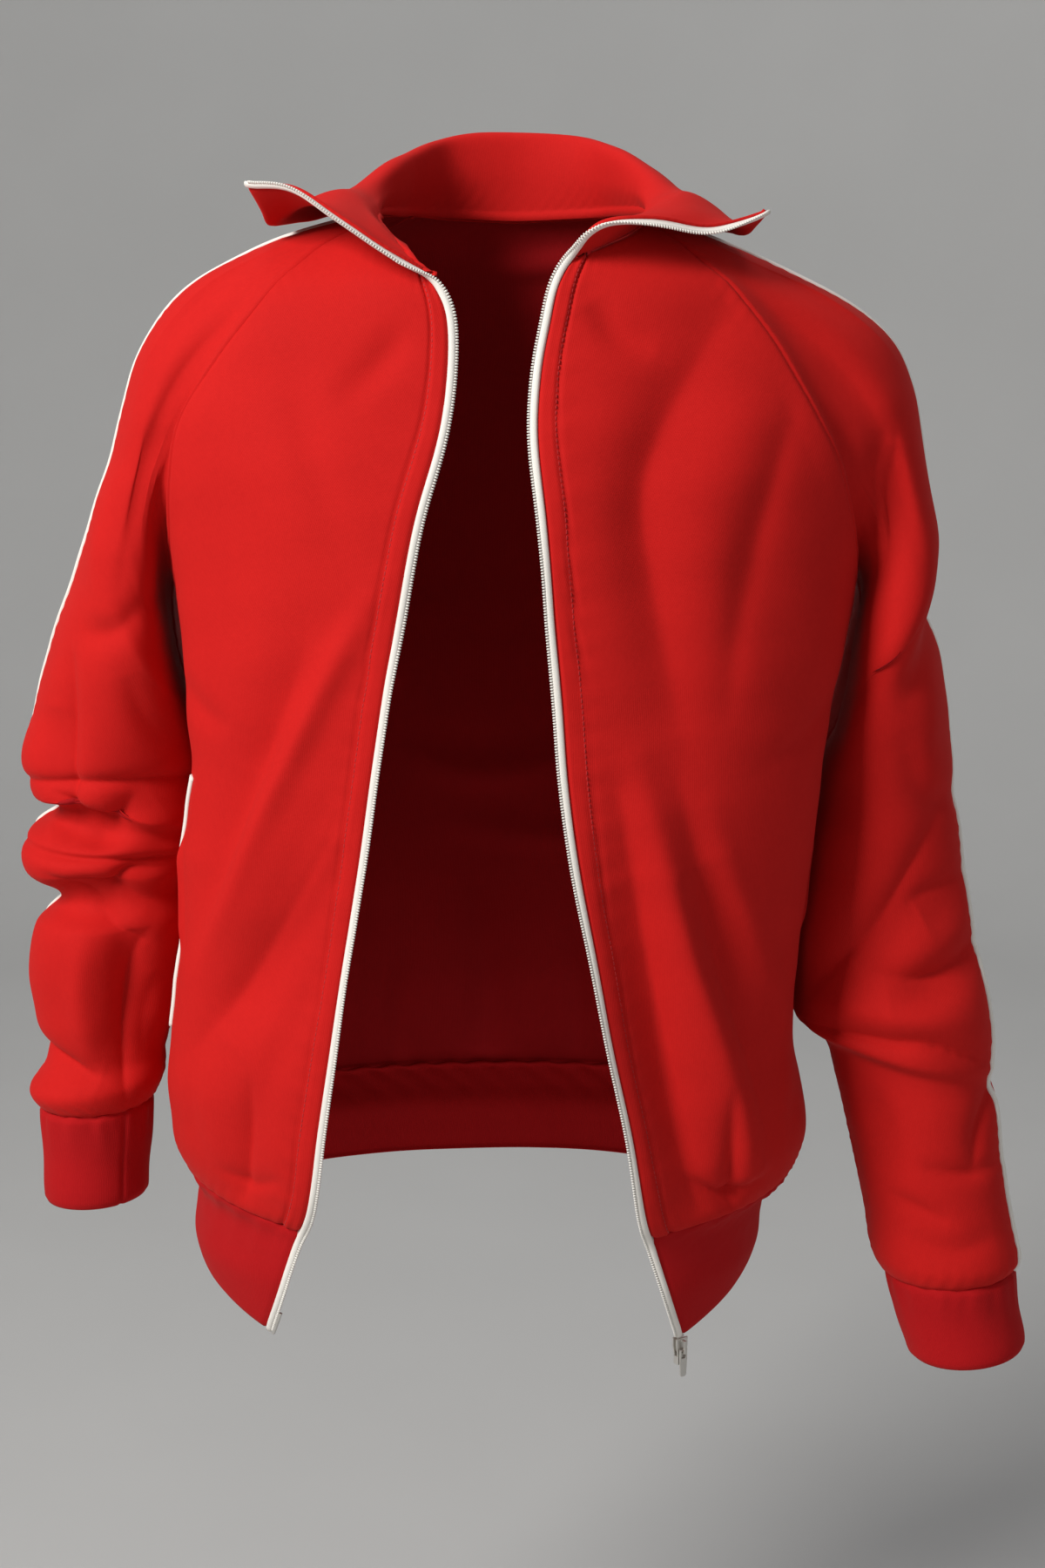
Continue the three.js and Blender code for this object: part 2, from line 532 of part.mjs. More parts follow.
// The back: each row runs from the right seam through the middle of the back to the left seam.
function backPanel() {
  const grid = [];
  const outward = [];
  const half = backColumns / 2;
  for (let r = 0; r <= bodyRows; r += 1) {
    const down = r / bodyRows;
    const points = [];
    const directions = [];
    for (let c = 0; c <= backColumns; c += 1) {
      const side = c <= half ? "right" : "left";
      const u = Math.abs(c - half) / half;
      const end = outerEnd(side, r, false);
      const neck = neckSeam[side];
      const neckAt = mix(neckCorner.middle, neckCorner.back, u);
      const bend = (1 - smooth(0, 0.3, down)) ** 2;
      const topTurn = column(neck, "at", "turn", neckAt) - mix(neck[7].turn, neck[5].turn, u);
      const topZ = column(neck, "at", "z", neckAt) - mix(neck[7].z, neck[5].z, u);
      const turn = mix(90, end.turn, u) + topTurn * bend;
      const z = mix(mix(neck[7].z, bandTop.back, down), end.z, u) + topZ * bend;
      const direction = bodyOutward(side, Math.min(turn, 89), z);
      const point = bodyPoint(side, turn, z);
      const fade = smooth(0, 0.12, 1 - u) * smooth(0, 0.06, down) * smooth(0, 0.05, 1 - down);
      point.addScaledVector(direction, -fade * foldDepth(backFolds, point.x, z));
      points.push(point);
      const onRaglan = (c === 0 || c === backColumns) && r <= raglanSteps;
      directions.push(onRaglan ? seamDirection(side, r, false) : direction);
    }
    grid.push(points);
    outward.push(directions);
  }
  return { grid, outward };
}

// A point of a sleeve or cuff section: 0 degrees is outside, 90 the front, 180 inside, -90 the back.
function ringPoint(sections, at, angle) {
  const get = (name) => column(sections, "at", name, at);
  const c = Math.cos(angle * radians);
  const s = Math.sin(angle * radians);
  const inwards = (1 - c) / 2;
  const depth = s > 0 ? get("front") : get("back");
  return new THREE.Vector3(
    mix(get("outX"), get("inX"), inwards),
    get("midY") - depth * s,
    mix(get("outZ"), get("inZ"), inwards),
  );
}

const halfSteps = neckSteps + raglanSteps;

// Where the sleeve meets the body: along the neck seam first, then down the raglan seam.
function sleeveStart(side, step, toFront) {
  const corner = toFront ? neckCorner.front : neckCorner.back;
  if (step <= neckSteps) {
    const at = mix(neckCorner.top, corner, step / neckSteps);
    return {
      turn: column(neckSeam[side], "at", "turn", at),
      z: column(neckSeam[side], "at", "z", at),
    };
  }
  return outerEnd(side, step - neckSteps, toFront);
}

// Evens out the yoke beside the raglan seams and the underarm, where its columns crowd together:
// each point moves half way to the middle of its four neighbours, again and again.
function evenYoke(grid) {
  const round = 2 * halfSteps;
  for (let pass = 0; pass < evenPasses; pass += 1) {
    const before = grid.map((row) => row.map((p) => p.clone()));
    for (let r = 1; r <= yokeRows + 1; r += 1) {
      for (let c = 0; c < round; c += 1) {
        const share = Math.abs(c - halfSteps) / halfSteps;
        const middle = new THREE.Vector3();
        middle.add(before[r - 1][c]).add(before[r + 1][c]);
        middle.add(before[r][(c + round - 1) % round]).add(before[r][c + 1]).multiplyScalar(0.25);
        grid[r][c].lerp(middle, 0.5 * smooth(0.3, 0.5, share));
      }
      grid[r][round].copy(grid[r][0]);
    }
  }
}

// The whole sleeve, round from the underarm through the back, the top seam and the front.
function sleeveGrid(side) {
  const sections = sleeveSections[side];
  const lastAt = sections[sections.length - 1].at;
  const round = 2 * halfSteps;
  const grid = [];
  for (let r = 0; r <= yokeRows + armRows; r += 1) grid.push([]);
  const seamDirections = [];
  for (let c = 0; c <= round; c += 1) {
    const toFront = c >= halfSteps;
    const step = Math.abs(c - halfSteps);
    const start = sleeveStart(side, step, toFront);
    const from = bodyPoint(side, start.turn, start.z);
    seamDirections.push(bodyOutward(side, start.turn, start.z));
    const share = step / halfSteps;
    const angleAt = (at) => {
      const turn = column(sections, "at", "turn", at);
      const sign = toFront ? 1 : -1;
      return mix(-turn, 180 * sign, share);
    };
    const to = ringPoint(sections, 0, angleAt(0));
    const beyond = ringPoint(sections, 0.5, angleAt(0.5));
    const reach = from.distanceTo(to);
    const flat = smooth(0.3, 0.7, share);
    const along = bodyPoint(side, start.turn * 0.9, start.z - mix(6, 0.5, flat)).sub(from).normalize();
    along.z += shoulderLift[side] * (1 - smooth(0, 0.5, share));
    const aside = new THREE.Vector3(sideSign[side], 0, 0);
    const leave = along.lerp(aside, smooth(0.45, 0.85, share)).normalize();
    leave.multiplyScalar(reach * mix(yokeLeave, 0.8, smooth(0, 0.8, share)));
    const arrive = beyond.sub(to).normalize().multiplyScalar(reach * mix(yokeArrive[side], 0.9, share));
    for (let r = 0; r < yokeRows; r += 1) {
      const t = r / yokeRows;
      const h = t * t * (3 - 2 * t);
      const point = from.clone().lerp(to, h);
      point.addScaledVector(leave, t * (1 - t) * (1 - t));
      point.addScaledVector(arrive, -t * t * (1 - t));
      grid[r].push(point);
    }
    for (let r = 0; r <= armRows; r += 1) {
      const at = (lastAt * r) / armRows;
      grid[yokeRows + r].push(ringPoint(sections, at, angleAt(at)));
    }
  }
  evenYoke(grid);
  const middle = grid.map((row) => row[halfSteps].clone().lerp(row[0], 0.5));
  const outward = gridOutward(grid, false, middle);
  for (let r = 0; r < grid.length; r += 1) {
    const joined = outward[r][0].clone().add(outward[r][round]).normalize();
    outward[r][0] = joined;
    outward[r][round] = joined.clone();
  }
  for (let c = 0; c <= round; c += 1) {
    const pastNeck = smooth(0, 1.5, Math.abs(c - halfSteps) - neckSteps);
    outward[0][c] = seamDirections[c].addScaledVector(outward[0][c], pastNeck).normalize();
  }
  const count = grid.length - 1;
  for (let r = 1; r < count; r += 1) {
    for (let c = 1; c < round; c += 1) {
      const point = grid[r][c];
      const share = Math.abs(c - halfSteps) / halfSteps;
      const fade = smooth(0, 0.12, share) * smooth(0, 0.12, 1 - share) * smooth(0, 0.1, r / count);
      const end = smooth(0, 0.05, 1 - r / count);
      const depth = foldDepth(sleeveFolds[side], point.x, point.z);
      point.addScaledVector(outward[r][c], -fade * end * depth);
    }
  }
  return { grid, outward };
}

// The direction shared by the body and the sleeve at each step of a raglan seam.
function seamDirection(side, row, toFront) {
  const step = neckSteps + row;
  return sleeves[side].outward[0][toFront ? halfSteps + step : halfSteps - step];
}

function pickColumns(surface, first, last) {
  return {
    grid: surface.grid.map((row) => row.slice(first, last + 1)),
    outward: surface.outward.map((row) => row.slice(first, last + 1)),
  };
}

function cuffGrid(side) {
  const sections = cuffSections[side];
  const round = 2 * halfSteps;
  const grid = [];
  for (let r = 0; r <= cuffRows; r += 1) {
    const row = [];
    for (let c = 0; c < round; c += 1) {
      row.push(ringPoint(sections, (3 * r) / cuffRows, (360 * c) / round));
    }
    grid.push(row);
  }
  const middle = grid.map((row) => row[0].clone().lerp(row[halfSteps], 0.5));
  return { grid, outward: gridOutward(grid, true, middle) };
}

// The waistband runs from the right zip edge round the back to the left one.
function waistband() {
  const half = bandColumns / 2;
  const grid = [];
  const outward = [];
  for (let r = 0; r <= bandRows; r += 1) {
    const down = r / bandRows;
    const points = [];
    const directions = [];
    for (let c = 0; c <= bandColumns; c += 1) {
      const side = c <= half ? "right" : "left";
      const u = Math.abs(c - half) / half;
      const frontZ = mix(bandTop.front, bandBottom.front, down);
      const start = edgeTurn(side, frontZ);
      const turn = mix(90, start, u);
      const level = (ends) => {
        if (turn > 0) return mix(ends.side, ends.back, turn / 90);
        return mix(ends.side, ends.front, turn / start);
      };
      const z = mix(level(bandTop), level(bandBottom), down);
      points.push(bodyPoint(side, turn, z));
      directions.push(bodyOutward(side, Math.min(turn, 89), z));
    }
    grid.push(points);
    outward.push(directions);
  }
  return { grid, outward };
}

const coordinates = ({ x, y, z }) => ({ x, y, z });

function curvePoint(rows, at) {
  return {
    x: column(rows, "key", "x", at),
    y: column(rows, "key", "y", at),
    z: column(rows, "key", "z", at),
  };
}

// The collar: ribs carried round the neck, each a smooth curve from the seam over the roll.
function collarGrid() {
  const ribs = collarRibs.map((rib, i) => {
    const neck = neckSeam[rib.side];
    const turn = column(neck, "at", "turn", rib.seam);
    const z = column(neck, "at", "z", rib.seam);
    const foot = bodyPoint(rib.side, turn, z);
    const stand = new THREE.Vector3(...rib.stand);
    foot.add(stand.clone().sub(foot).normalize().multiplyScalar(1.4));
    const points = [foot, stand, ...["roll", "fall", "edge"].map((k) => new THREE.Vector3(...rib[k]))];
    return { at: i, points };
  });
  const grid = [];
  for (let r = 0; r <= collarRows; r += 1) grid.push([]);
  for (let c = 0; c <= collarColumns; c += 1) {
    const at = (c / collarColumns) * (ribs.length - 1);
    const rib = [0, 1, 2, 3, 4].map((k) => {
      const rows = ribs.map(({ at: key, points }) => ({ key, ...coordinates(points[k]) }));
      return { key: k, ...curvePoint(rows, at) };
    });
    for (let r = 0; r <= collarRows; r += 1) {
      const up = (4 * r) / collarRows;
      const { x, y, z } = curvePoint(rib, up);
      grid[r].push(new THREE.Vector3(x, y, z));
    }
  }
  return grid;
}

// The outer face of the collar is the face away from the neck at its seam.
function collarOutward(grid) {
  const rows = grid.length;
  const columns = grid[0].length;
  return grid.map((row, r) =>
    row.map((p, c) => {
      const across = row[Math.min(c + 1, columns - 1)].clone().sub(row[Math.max(c - 1, 0)]);
      const up = grid[Math.min(r + 1, rows - 1)][c].clone().sub(grid[Math.max(r - 1, 0)][c]);
      return up.cross(across).normalize();
    }),
  );
}

// A strip beside an edge: it starts a gap away from the edge, wider at the corner where the collar
// begins, and runs on into the opening.
function zipTape(edges) {
  const count = edges.length;
  const towards = edges.map(({ edge, next }) => edge.clone().sub(next).normalize());
  const eased = towards.map((direction, i) => {
    const sum = new THREE.Vector3();
    for (let k = -2; k <= 2; k += 1) sum.add(towards[Math.min(Math.max(i + k, 0), count - 1)]);
    return sum.normalize();
  });
  const grid = edges.map(({ edge }, i) => {
    const start = tapeGap + Math.exp(-(((i - collarRows) / 1.5) ** 2));
    return [start, tapeWidth].map((distance) => edge.clone().addScaledVector(eased[i], distance));
  });
  return { grid, outward: edges.map(({ outward }) => [outward, outward]) };
}

// A flat cord laid along one column of a surface, raised clear of it.
function laidStrip(points, outward, across, width, lift) {
  const grid = points.map((point, i) =>
    [-1, 0, 1].map((place) => {
      const raise = lift + (place === 0 ? 0.5 : 0);
      return point
        .clone()
        .addScaledVector(across[i], (place * width) / 2)
        .addScaledVector(outward[i], raise);
    }),
  );
  return { grid, outward: outward.map((n) => [n, n, n]) };
}

function pathAcross(points, outward) {
  return points.map((point, i) => {
    const after = points[Math.min(i + 1, points.length - 1)];
    const before = points[Math.max(i - 1, 0)];
    return after.clone().sub(before).cross(outward[i]).normalize();
  });
}

const sleeves = { right: sleeveGrid("right"), left: sleeveGrid("left") };
const fronts = { right: frontPanel("right"), left: frontPanel("left") };
const back = backPanel();
const band = waistband();
const collar = collarGrid();
const collarNormals = collarOutward(collar);

for (const side of ["right", "left"]) {
  const { grid, outward } = fronts[side];
  add(`front_${side}`, wall(grid, outward, cloth, ["top", "bottom", "last"]), palette.red);
}
add("back", wall(back.grid, back.outward, cloth, ["top", "bottom", "first", "last"]), palette.red);
add("waistband", wall(band.grid, band.outward, bandCloth, ["top"]), palette.darkRed);
add("collar", wall(collar, collarNormals, doubledCloth, []), palette.red);

for (const side of ["right", "left"]) {
  const sleeve = sleeves[side];
  const halves = {
    back: pickColumns(sleeve, 0, halfSteps),
    front: pickColumns(sleeve, halfSteps, 2 * halfSteps),
  };
  for (const [name, half] of Object.entries(halves)) {
    const geometry = wall(half.grid, half.outward, cloth, ["top", "bottom", "first", "last"]);
    add(`sleeve_${side}_${name}`, geometry, palette.red);
  }
  const cuff = cuffGrid(side);
  add(`cuff_${side}`, wall(cuff.grid, cuff.outward, bandCloth, ["top"], true), palette.darkRed);

  const topSeam = sleeve.grid.map((row) => row[halfSteps]).slice(1, -1);
  const topOutward = sleeve.outward.map((row) => row[halfSteps]).slice(1, -1);
  const topAcross = pathAcross(topSeam, topOutward);
  const strip = laidStrip(topSeam, topOutward, topAcross, pipingWidth, laidOnGap + pipingThickness);
  add(`piping_${side}`, wall(strip.grid, strip.outward, pipingThickness, []), palette.white);
}

function frontEdgePath(side) {
  const front = fronts[side];
  const body = front.grid.map((row, r) => ({ edge: row[0], next: row[1], outward: front.outward[r][0] }));
  const last = side === "right" ? 0 : collarColumns;
  const inner = side === "right" ? 1 : collarColumns - 1;
  const neck = collar.map((row, r) => ({
    edge: row[last],
    next: row[inner],
    outward: collarNormals[r][last],
  }));
  const end = side === "right" ? 0 : bandColumns;
  const beside = Math.abs(end - 1);
  const hem = band.grid.map((row, r) => ({
    edge: row[end],
    next: row[beside],
    outward: band.outward[r][end],
  }));
  return [...neck.reverse(), ...body, ...hem];
}

// A piping round the pocket mouth, through points of the front between two of its columns.
function pocketStrip(front, columns) {
  const points = [];
  const outward = [];
  for (let r = pocketRows.first; r <= pocketRows.last; r += 1) {
    const at = columns[r - pocketRows.first];
    const c = Math.floor(at);
    points.push(front.grid[r][c].clone().lerp(front.grid[r][c + 1], at - c));
    outward.push(front.outward[r][c].clone().lerp(front.outward[r][c + 1], at - c).normalize());
  }
  const across = pathAcross(points, outward);
  return laidStrip(points, outward, across, pocketWidth, laidOnGap + pipingThickness);
}

for (const side of ["right", "left"]) {
  const pocket = pocketStrip(fronts[side], pocketColumns[side]);
  add(`pocket_welt_${side}`, wall(pocket.grid, pocket.outward, pipingThickness, []), palette.white);
}

const tapes = { right: zipTape(frontEdgePath("right")), left: zipTape(frontEdgePath("left")) };
for (const side of ["right", "left"]) {
  const { grid, outward } = tapes[side];
  add(`zip_tape_${side}`, wall(grid, outward, tapeThickness, []), palette.white);
}

// The pin at the lower end of the right tape lies along the tape's free edge.
function pinStrip(tape) {
  const ends = tape.grid.slice(-2).map(([near, free], i) => ({
    free,
    across: free.clone().sub(near).normalize(),
    outward: tape.outward[tape.outward.length - 2 + i][0],
  }));
  const between = (name) => ends[0][name].clone().lerp(ends[1][name], zip.pin.start);
  const top = { free: between("free"), across: between("across"), outward: between("outward") };
  const rows = [top, ends[1]];
  const places = [zip.gap, zip.gap + zip.pin.width];
  return {
    grid: rows.map((row) => places.map((place) => row.free.clone().addScaledVector(row.across, place))),
    outward: rows.map((row) => [row.outward, row.outward]),
  };
}

const pin = pinStrip(tapes.right);
add("zip_pin", wall(pin.grid, pin.outward, zip.pin.width, []), palette.metal);

const { Manifold } = manifold;

function bar(width, depth, height, x, y, z) {
  return Manifold.cube([width, depth, height], true).translate([x, y, z]);
}

// A flat plate facing the front: an outline of x and z places, and its front and back.
function plate(outline, front, thickness) {
  return Manifold.extrude([outline], thickness).rotate([90, 0, 0]).translate([0, front + thickness, 0]);
}

function placed(solid) {
  const { vertProperties, triVerts } = solid.getMesh();
  const geometry = new THREE.BufferGeometry();
  geometry.setAttribute("position", new THREE.Float32BufferAttribute(vertProperties, 3));
  geometry.setIndex([...triVerts]);
  geometry.computeVertexNormals();
  return geometry.rotateZ(zip.turn * radians).translate(zip.x, zip.y, zip.z);
}

// Two plates joined by a post, with the bridge standing on the front one.
function sliderSolid() {
  const { width, endWidth, height, slot, post, bridge } = zip;
  const face = -slot / 2 - zip.plate;
  const outline = [
    [-endWidth / 2, -height / 2],
    [endWidth / 2, -height / 2],
    [width / 2, 0],
    [width / 2, height / 2],
    [-width / 2, height / 2],
    [-width / 2, 0],
  ];
  const reach = bridge.rise + bridge.bar;
  const legDepth = reach + zip.plate / 2;
  const leg = (z) => bar(bridge.width, legDepth, bridge.bar, 0, face - reach + legDepth / 2, z);
  const runY = face - reach + bridge.bar / 2;
  const runZ = (bridge.high + bridge.low) / 2;
  return Manifold.union([
    plate(outline, face, zip.plate),
    plate(outline, slot / 2, zip.plate),
    bar(post.width, slot + zip.plate, post.high - post.low, 0, 0, (post.high + post.low) / 2),
    leg(bridge.low + bridge.bar / 2),
    leg(bridge.high - bridge.bar / 2),
    bar(bridge.width, bridge.bar, bridge.high - bridge.low, 0, runY, runZ),
  ]);
}

// A flat tab, drawn hanging, with an eye that the bridge passes through.
function pullSolid() {
  const { width, endWidth, bottom, thickness, rail, eyeLow } = zip.pull;
  const middle = -zip.slot / 2 - zip.plate - zip.pivot.out;
  const top = zip.pivot.up + thickness / 2;
  const outline = [
    [-width / 2, eyeLow],
    [-endWidth / 2, bottom + 1],
    [-endWidth / 2 + 1, bottom],
    [endWidth / 2 - 1, bottom],
    [endWidth / 2, bottom + 1],
    [width / 2, eyeLow],
    [width / 2, top],
    [-width / 2, top],
  ];
  const eyeTop = zip.pivot.up - thickness / 2;
  const eye = bar(width - 2 * rail, 2 * thickness, eyeTop - eyeLow, 0, middle, (eyeTop + eyeLow) / 2);
  return plate(outline, middle - thickness / 2, thickness).subtract(eye);
}

const boxZ = -zip.height / 2 - zip.gap - zip.box.height / 2;
add("zip_slider", placed(sliderSolid()), palette.metal);
add("zip_pull", placed(pullSolid()), palette.metal);
add("zip_box", placed(bar(zip.box.width, zip.box.depth, zip.box.height, 0, 0, boxZ)), palette.metal);

export default group;
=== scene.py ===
import bmesh
import bpy
import numpy as np
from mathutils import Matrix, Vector


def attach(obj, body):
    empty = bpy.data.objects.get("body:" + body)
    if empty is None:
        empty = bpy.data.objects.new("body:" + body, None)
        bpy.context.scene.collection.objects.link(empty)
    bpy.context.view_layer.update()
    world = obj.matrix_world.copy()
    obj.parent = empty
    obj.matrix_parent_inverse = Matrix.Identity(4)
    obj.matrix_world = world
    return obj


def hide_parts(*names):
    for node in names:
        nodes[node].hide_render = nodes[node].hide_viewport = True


# Track jacket, worn open. Sizes are in millimetres until a mesh is made, +Z up, the front faces -Y.
# Sides are the wearer's: right is -X, left is +X.

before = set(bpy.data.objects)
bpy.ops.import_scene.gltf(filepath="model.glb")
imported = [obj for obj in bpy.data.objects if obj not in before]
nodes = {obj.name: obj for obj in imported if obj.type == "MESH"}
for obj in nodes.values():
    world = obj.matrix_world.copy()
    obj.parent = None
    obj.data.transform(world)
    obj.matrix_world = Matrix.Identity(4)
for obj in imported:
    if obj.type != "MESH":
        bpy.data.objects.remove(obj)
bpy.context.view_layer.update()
print("loaded", len(nodes), "nodes")

metresPerMm = 0.001
signOf = {"right": -1, "left": 1}
body = {
    "squareness": 2.4,
    "yokeLeave": 2,
    "yokeArrive": {"right": 1.1, "left": 1.3},
    "shoulderLift": {"right": 0.12, "left": 0},
    "evenPasses": 14,
    "pressAt": 15,
    "pressWidth": 30,
    "underarm": -235,
}
steps = {"raglan": 10, "neck": 2, "side": 14, "front": 13, "back": 18, "yoke": 7, "arm": 27}
bodyRows = steps["raglan"] + steps["side"]
halfRound = steps["neck"] + steps["raglan"]
neckCorner = {"front": 3, "top": 4, "back": 5, "middle": 7}
bandTop = {"side": -571, "front": -592, "back": -566}
bandBottom = {"side": -634, "front": -668, "back": -630}


def rows(names, *values):
    # a table, with each named column as an array
    return dict(zip(names.split(), np.array(values, float).T))


# Level sections: half widths, depths, and how far each arm presses the side in.
bodySections = rows(
    "z right left front back rightHollow leftHollow",
    (-672, 203, 150, 143, 121, 0, 0),
    (-632, 214, 163, 149, 125, 0, 0),
    (-610, 212, 165, 150, 124, 0, 0),
    (-594, 210, 169, 151, 123, 0, 0),
    (-582, 217, 184, 155, 127, 0, 0),
    (-565, 225, 192, 159, 130, 0, 0),
    (-545, 231, 197, 161, 130, 8, 8),
    (-517, 237, 196, 161, 126, 18, 14),
    (-485, 238, 193, 160, 122, 27, 18),
    (-430, 234, 194, 158, 119, 31, 19),
    (-370, 233, 202, 156, 120, 36, 23),
    (-338, 226, 207, 155, 122, 32, 25),
    (-305, 219, 210, 154, 124, 26, 25),
    (-270, 219, 214, 153, 127, 18, 22),
    (-235, 218, 219, 152, 130, 14, 17),
    (-200, 219, 221, 150, 132, 8, 8),
    (-165, 224, 225, 148, 132, 2, 2),
    (-130, 233, 232, 144, 130, 0, 0),
    (-100, 239, 239, 137, 126, 0, 0),
    (-70, 237, 236, 128, 120, 0, 0),
    (-40, 226, 221, 120, 112, 0, 0),
    (-13, 200, 187, 113, 103, 0, 0),
    (3, 167, 150, 103, 95, 0, 0),
    (16, 130, 118, 92, 88, 0, 0),
    (25, 98, 96, 79, 80, 0, 0),
    (34, 74, 74, 58, 66, 0, 0),
)
frontEdges = rows(
    "z right left",
    (-672, -161, 109),
    (-602, -138, 89),
    (-574, -128, 81),
    (-518, -119, 71),
    (-463, -110, 59),
    (-408, -101, 49),
    (-354, -92, 39),
    (-301, -84, 32),
    (-249, -76, 28),
    (-198, -67, 23),
    (-147, -57, 19),
    (-98, -43, 14),
    (-62, -38, 16),
    (-30, -38.5, 22),
    (-12, -45, 26),
    (0, -52, 32),
)
neckSeam = {
    "right": rows(
        "at turn z",
        (0, -80.3, -12),
        (1, -72, 4),
        (2, -59, 15),
        (3, -36, 25),
        (4, -8, 29.5),
        (5, 38, 31),
        (6, 64, 29),
        (7, 90, 27),
    ),
    "left": rows(
        "at turn z",
        (0, -81.4, 0),
        (1, -73, 8),
        (2, -59, 16),
        (3, -36, 25),
        (4, -4, 30),
        (5, 38, 31),
        (6, 64, 29),
        (7, 90, 27),
    ),
}
# Rings down each sleeve: its outer and inner edge, its depths, and how far the top seam is turned.
sleeveSections = {
    "right": rows(
        "at outX outZ inX inZ midY front back turn",
        (0, -259, -135, -213, -264, 3, 79, 77, -12),
        (2, -280, -192, -206, -284, 6, 73, 74, -11),
        (4, -302, -247, -202, -306, 9, 68, 70, -1),
        (5.4, -314, -283, -201, -324, 10, 65, 66, 7),
        (6.6, -323, -318, -202, -341, 10, 65, 63, 16),
        (7.4, -317, -340, -203, -354, 9, 62, 60, 18),
        (8.0, -301, -349, -207, -362, 8, 53, 55, 19),
        (8.8, -322, -364, -204, -372, 7, 61, 59, 20),
        (9.6, -321, -388, -210, -386, 5, 60, 57, 20),
        (10.4, -300, -406, -217, -400, 3, 50, 51, 20),
        (11.2, -314, -424, -213, -418, 1, 56, 53, 20),
        (12.6, -320, -456, -217, -448, 0, 53, 51, 20),
        (14, -317, -486, -223, -480, -2, 49, 48, 20),
        (15.2, -313, -516, -232, -508, -5, 44, 44, 20),
        (16, -322, -535, -233, -526, -8, 47, 45, 20),
        (16.8, -315, -548, -240, -543, -10, 39, 38, 20),
    ),
    "left": rows(
        "at outX outZ inX inZ midY front back turn",
        (0, 261, -130, 219, -262, 3, 78, 77, 0),
        (2, 267, -176, 214, -280, 6, 74, 75, 0),
        (3.4, 265, -212, 209, -296, 8, 71, 72, 0),
        (4.8, 276, -252, 200, -314, 9, 69, 69, 0),
        (6.2, 283, -296, 196, -342, 8, 66, 66, 0),
        (7.6, 287, -340, 189, -374, 5, 65, 63, -7),
        (9, 294, -386, 185, -412, 0, 64, 60, -13),
        (10.4, 304, -434, 183, -448, -5, 64, 58, -17),
        (11.4, 313, -476, 184, -474, -10, 65, 57, -19),
        (12.1, 317, -511, 187, -488, -13, 63, 56, -19),
        (12.6, 315, -524, 204, -499, -15, 54, 53, -19),
        (13.4, 319, -542, 213, -528, -19, 53, 51, -19),
        (14.4, 323, -575, 222, -566, -25, 51, 49, -19),
        (15.6, 330, -616, 232, -612, -32, 48, 46, -19),
        (16.4, 335, -640, 237, -640, -37, 47, 45, -19),
        (16.8, 331, -650, 245, -654, -39, 42, 41, -19),
    ),
}
cuffSections = {
    "right": rows(
        "at outX outZ inX inZ midY front back",
        (0, -315, -548, -240, -543, -10, 39, 38),
        (1, -316, -565, -242, -562, -10, 37, 36),
        (2, -315, -589, -244, -587, -10, 36, 35),
        (3, -315, -612, -246, -609, -11, 35, 34),
    ),
    "left": rows(
        "at outX outZ inX inZ midY front back",
        (0, 331, -650, 245, -654, -39, 42, 41),
        (1, 334, -667, 251, -673, -41, 40, 39),
        (2, 337, -684, 256, -692, -43, 39, 38),
        (3, 340, -701, 263, -711, -45, 38, 37),
    ),
}
# From the neck to the underarm: the turn and height on the fronts, then those on the back.
raglanSeam = rows(
    "at z right left backZ back",
    (0.0, 25, -36, -36, 31, 38),
    (0.12, 14, -41, -42, 19, 43),
    (0.25, -1, -47, -48, 3, 49),
    (0.38, -25, -48.5, -51, -22, 51),
    (0.5, -55, -44.5, -49.5, -53, 47),
    (0.62, -90, -36.5, -44, -88, 40),
    (0.72, -120, -31, -36, -120, 33),
    (0.82, -155, -23, -26, -155, 24),
    (0.91, -195, -12, -13, -195, 12),
    (1.0, -235, 0, 0, -235, 0),
)
# Ribs across the collar: the place on the neck seam, the side, then over the roll to the edge.
collarRibs = [
    (0, "right", (-77, -114, 7), (-104, -110, 24), (-130, -98, 40), (-157, -80, 42)),
    (0.45, "right", (-82, -103, 12), (-106, -96, 27), (-130, -82, 36), (-151, -66, 29)),
    (1, "right", (-84, -88, 19), (-107, -77, 32), (-128, -60, 31), (-147, -50, 20)),
    (2, "right", (-88, -64, 30), (-105, -48, 39), (-123, -32, 33), (-139, -22, 21)),
    (3, "right", (-85, -32, 34), (-94, -18, 43), (-108, -4, 37), (-129, 4, 23)),
    (4, "right", (-78, 4, 43), (-79, 12, 55), (-89, 22, 50), (-112, 32, 28)),
    (5, "right", (-62, 42, 50), (-60, 46, 68), (-68, 57, 62), (-85, 70, 37)),
    (6, "right", (-39, 66, 53), (-38, 71, 76), (-42, 81, 71), (-49, 93, 46)),
    (7, "left", (0, 76, 53), (0, 79, 78), (0, 90, 74), (0, 101, 48)),
    (6, "left", (39, 66, 53), (38, 71, 76), (42, 81, 71), (49, 93, 46)),
    (5, "left", (62, 42, 50), (61, 46, 69), (69, 57, 63), (85, 70, 36)),
    (4, "left", (78, 4, 43), (80, 12, 56), (91, 22, 50), (110, 32, 26)),
    (3, "left", (84, -32, 35), (95, -18, 43), (108, -5, 36), (124, 4, 19)),
    (2, "left", (84, -66, 30), (103, -50, 38), (120, -36, 31), (134, -26, 15)),
    (1, "left", (72, -92, 24), (98, -78, 30), (122, -62, 26), (141, -50, 15)),
    (0.45, "left", (60, -105, 21), (91, -95, 26), (120, -80, 22), (146, -65, 20)),
    (0, "left", (51, -113, 19), (84, -106, 22), (118, -93, 18), (151, -76, 27)),
]
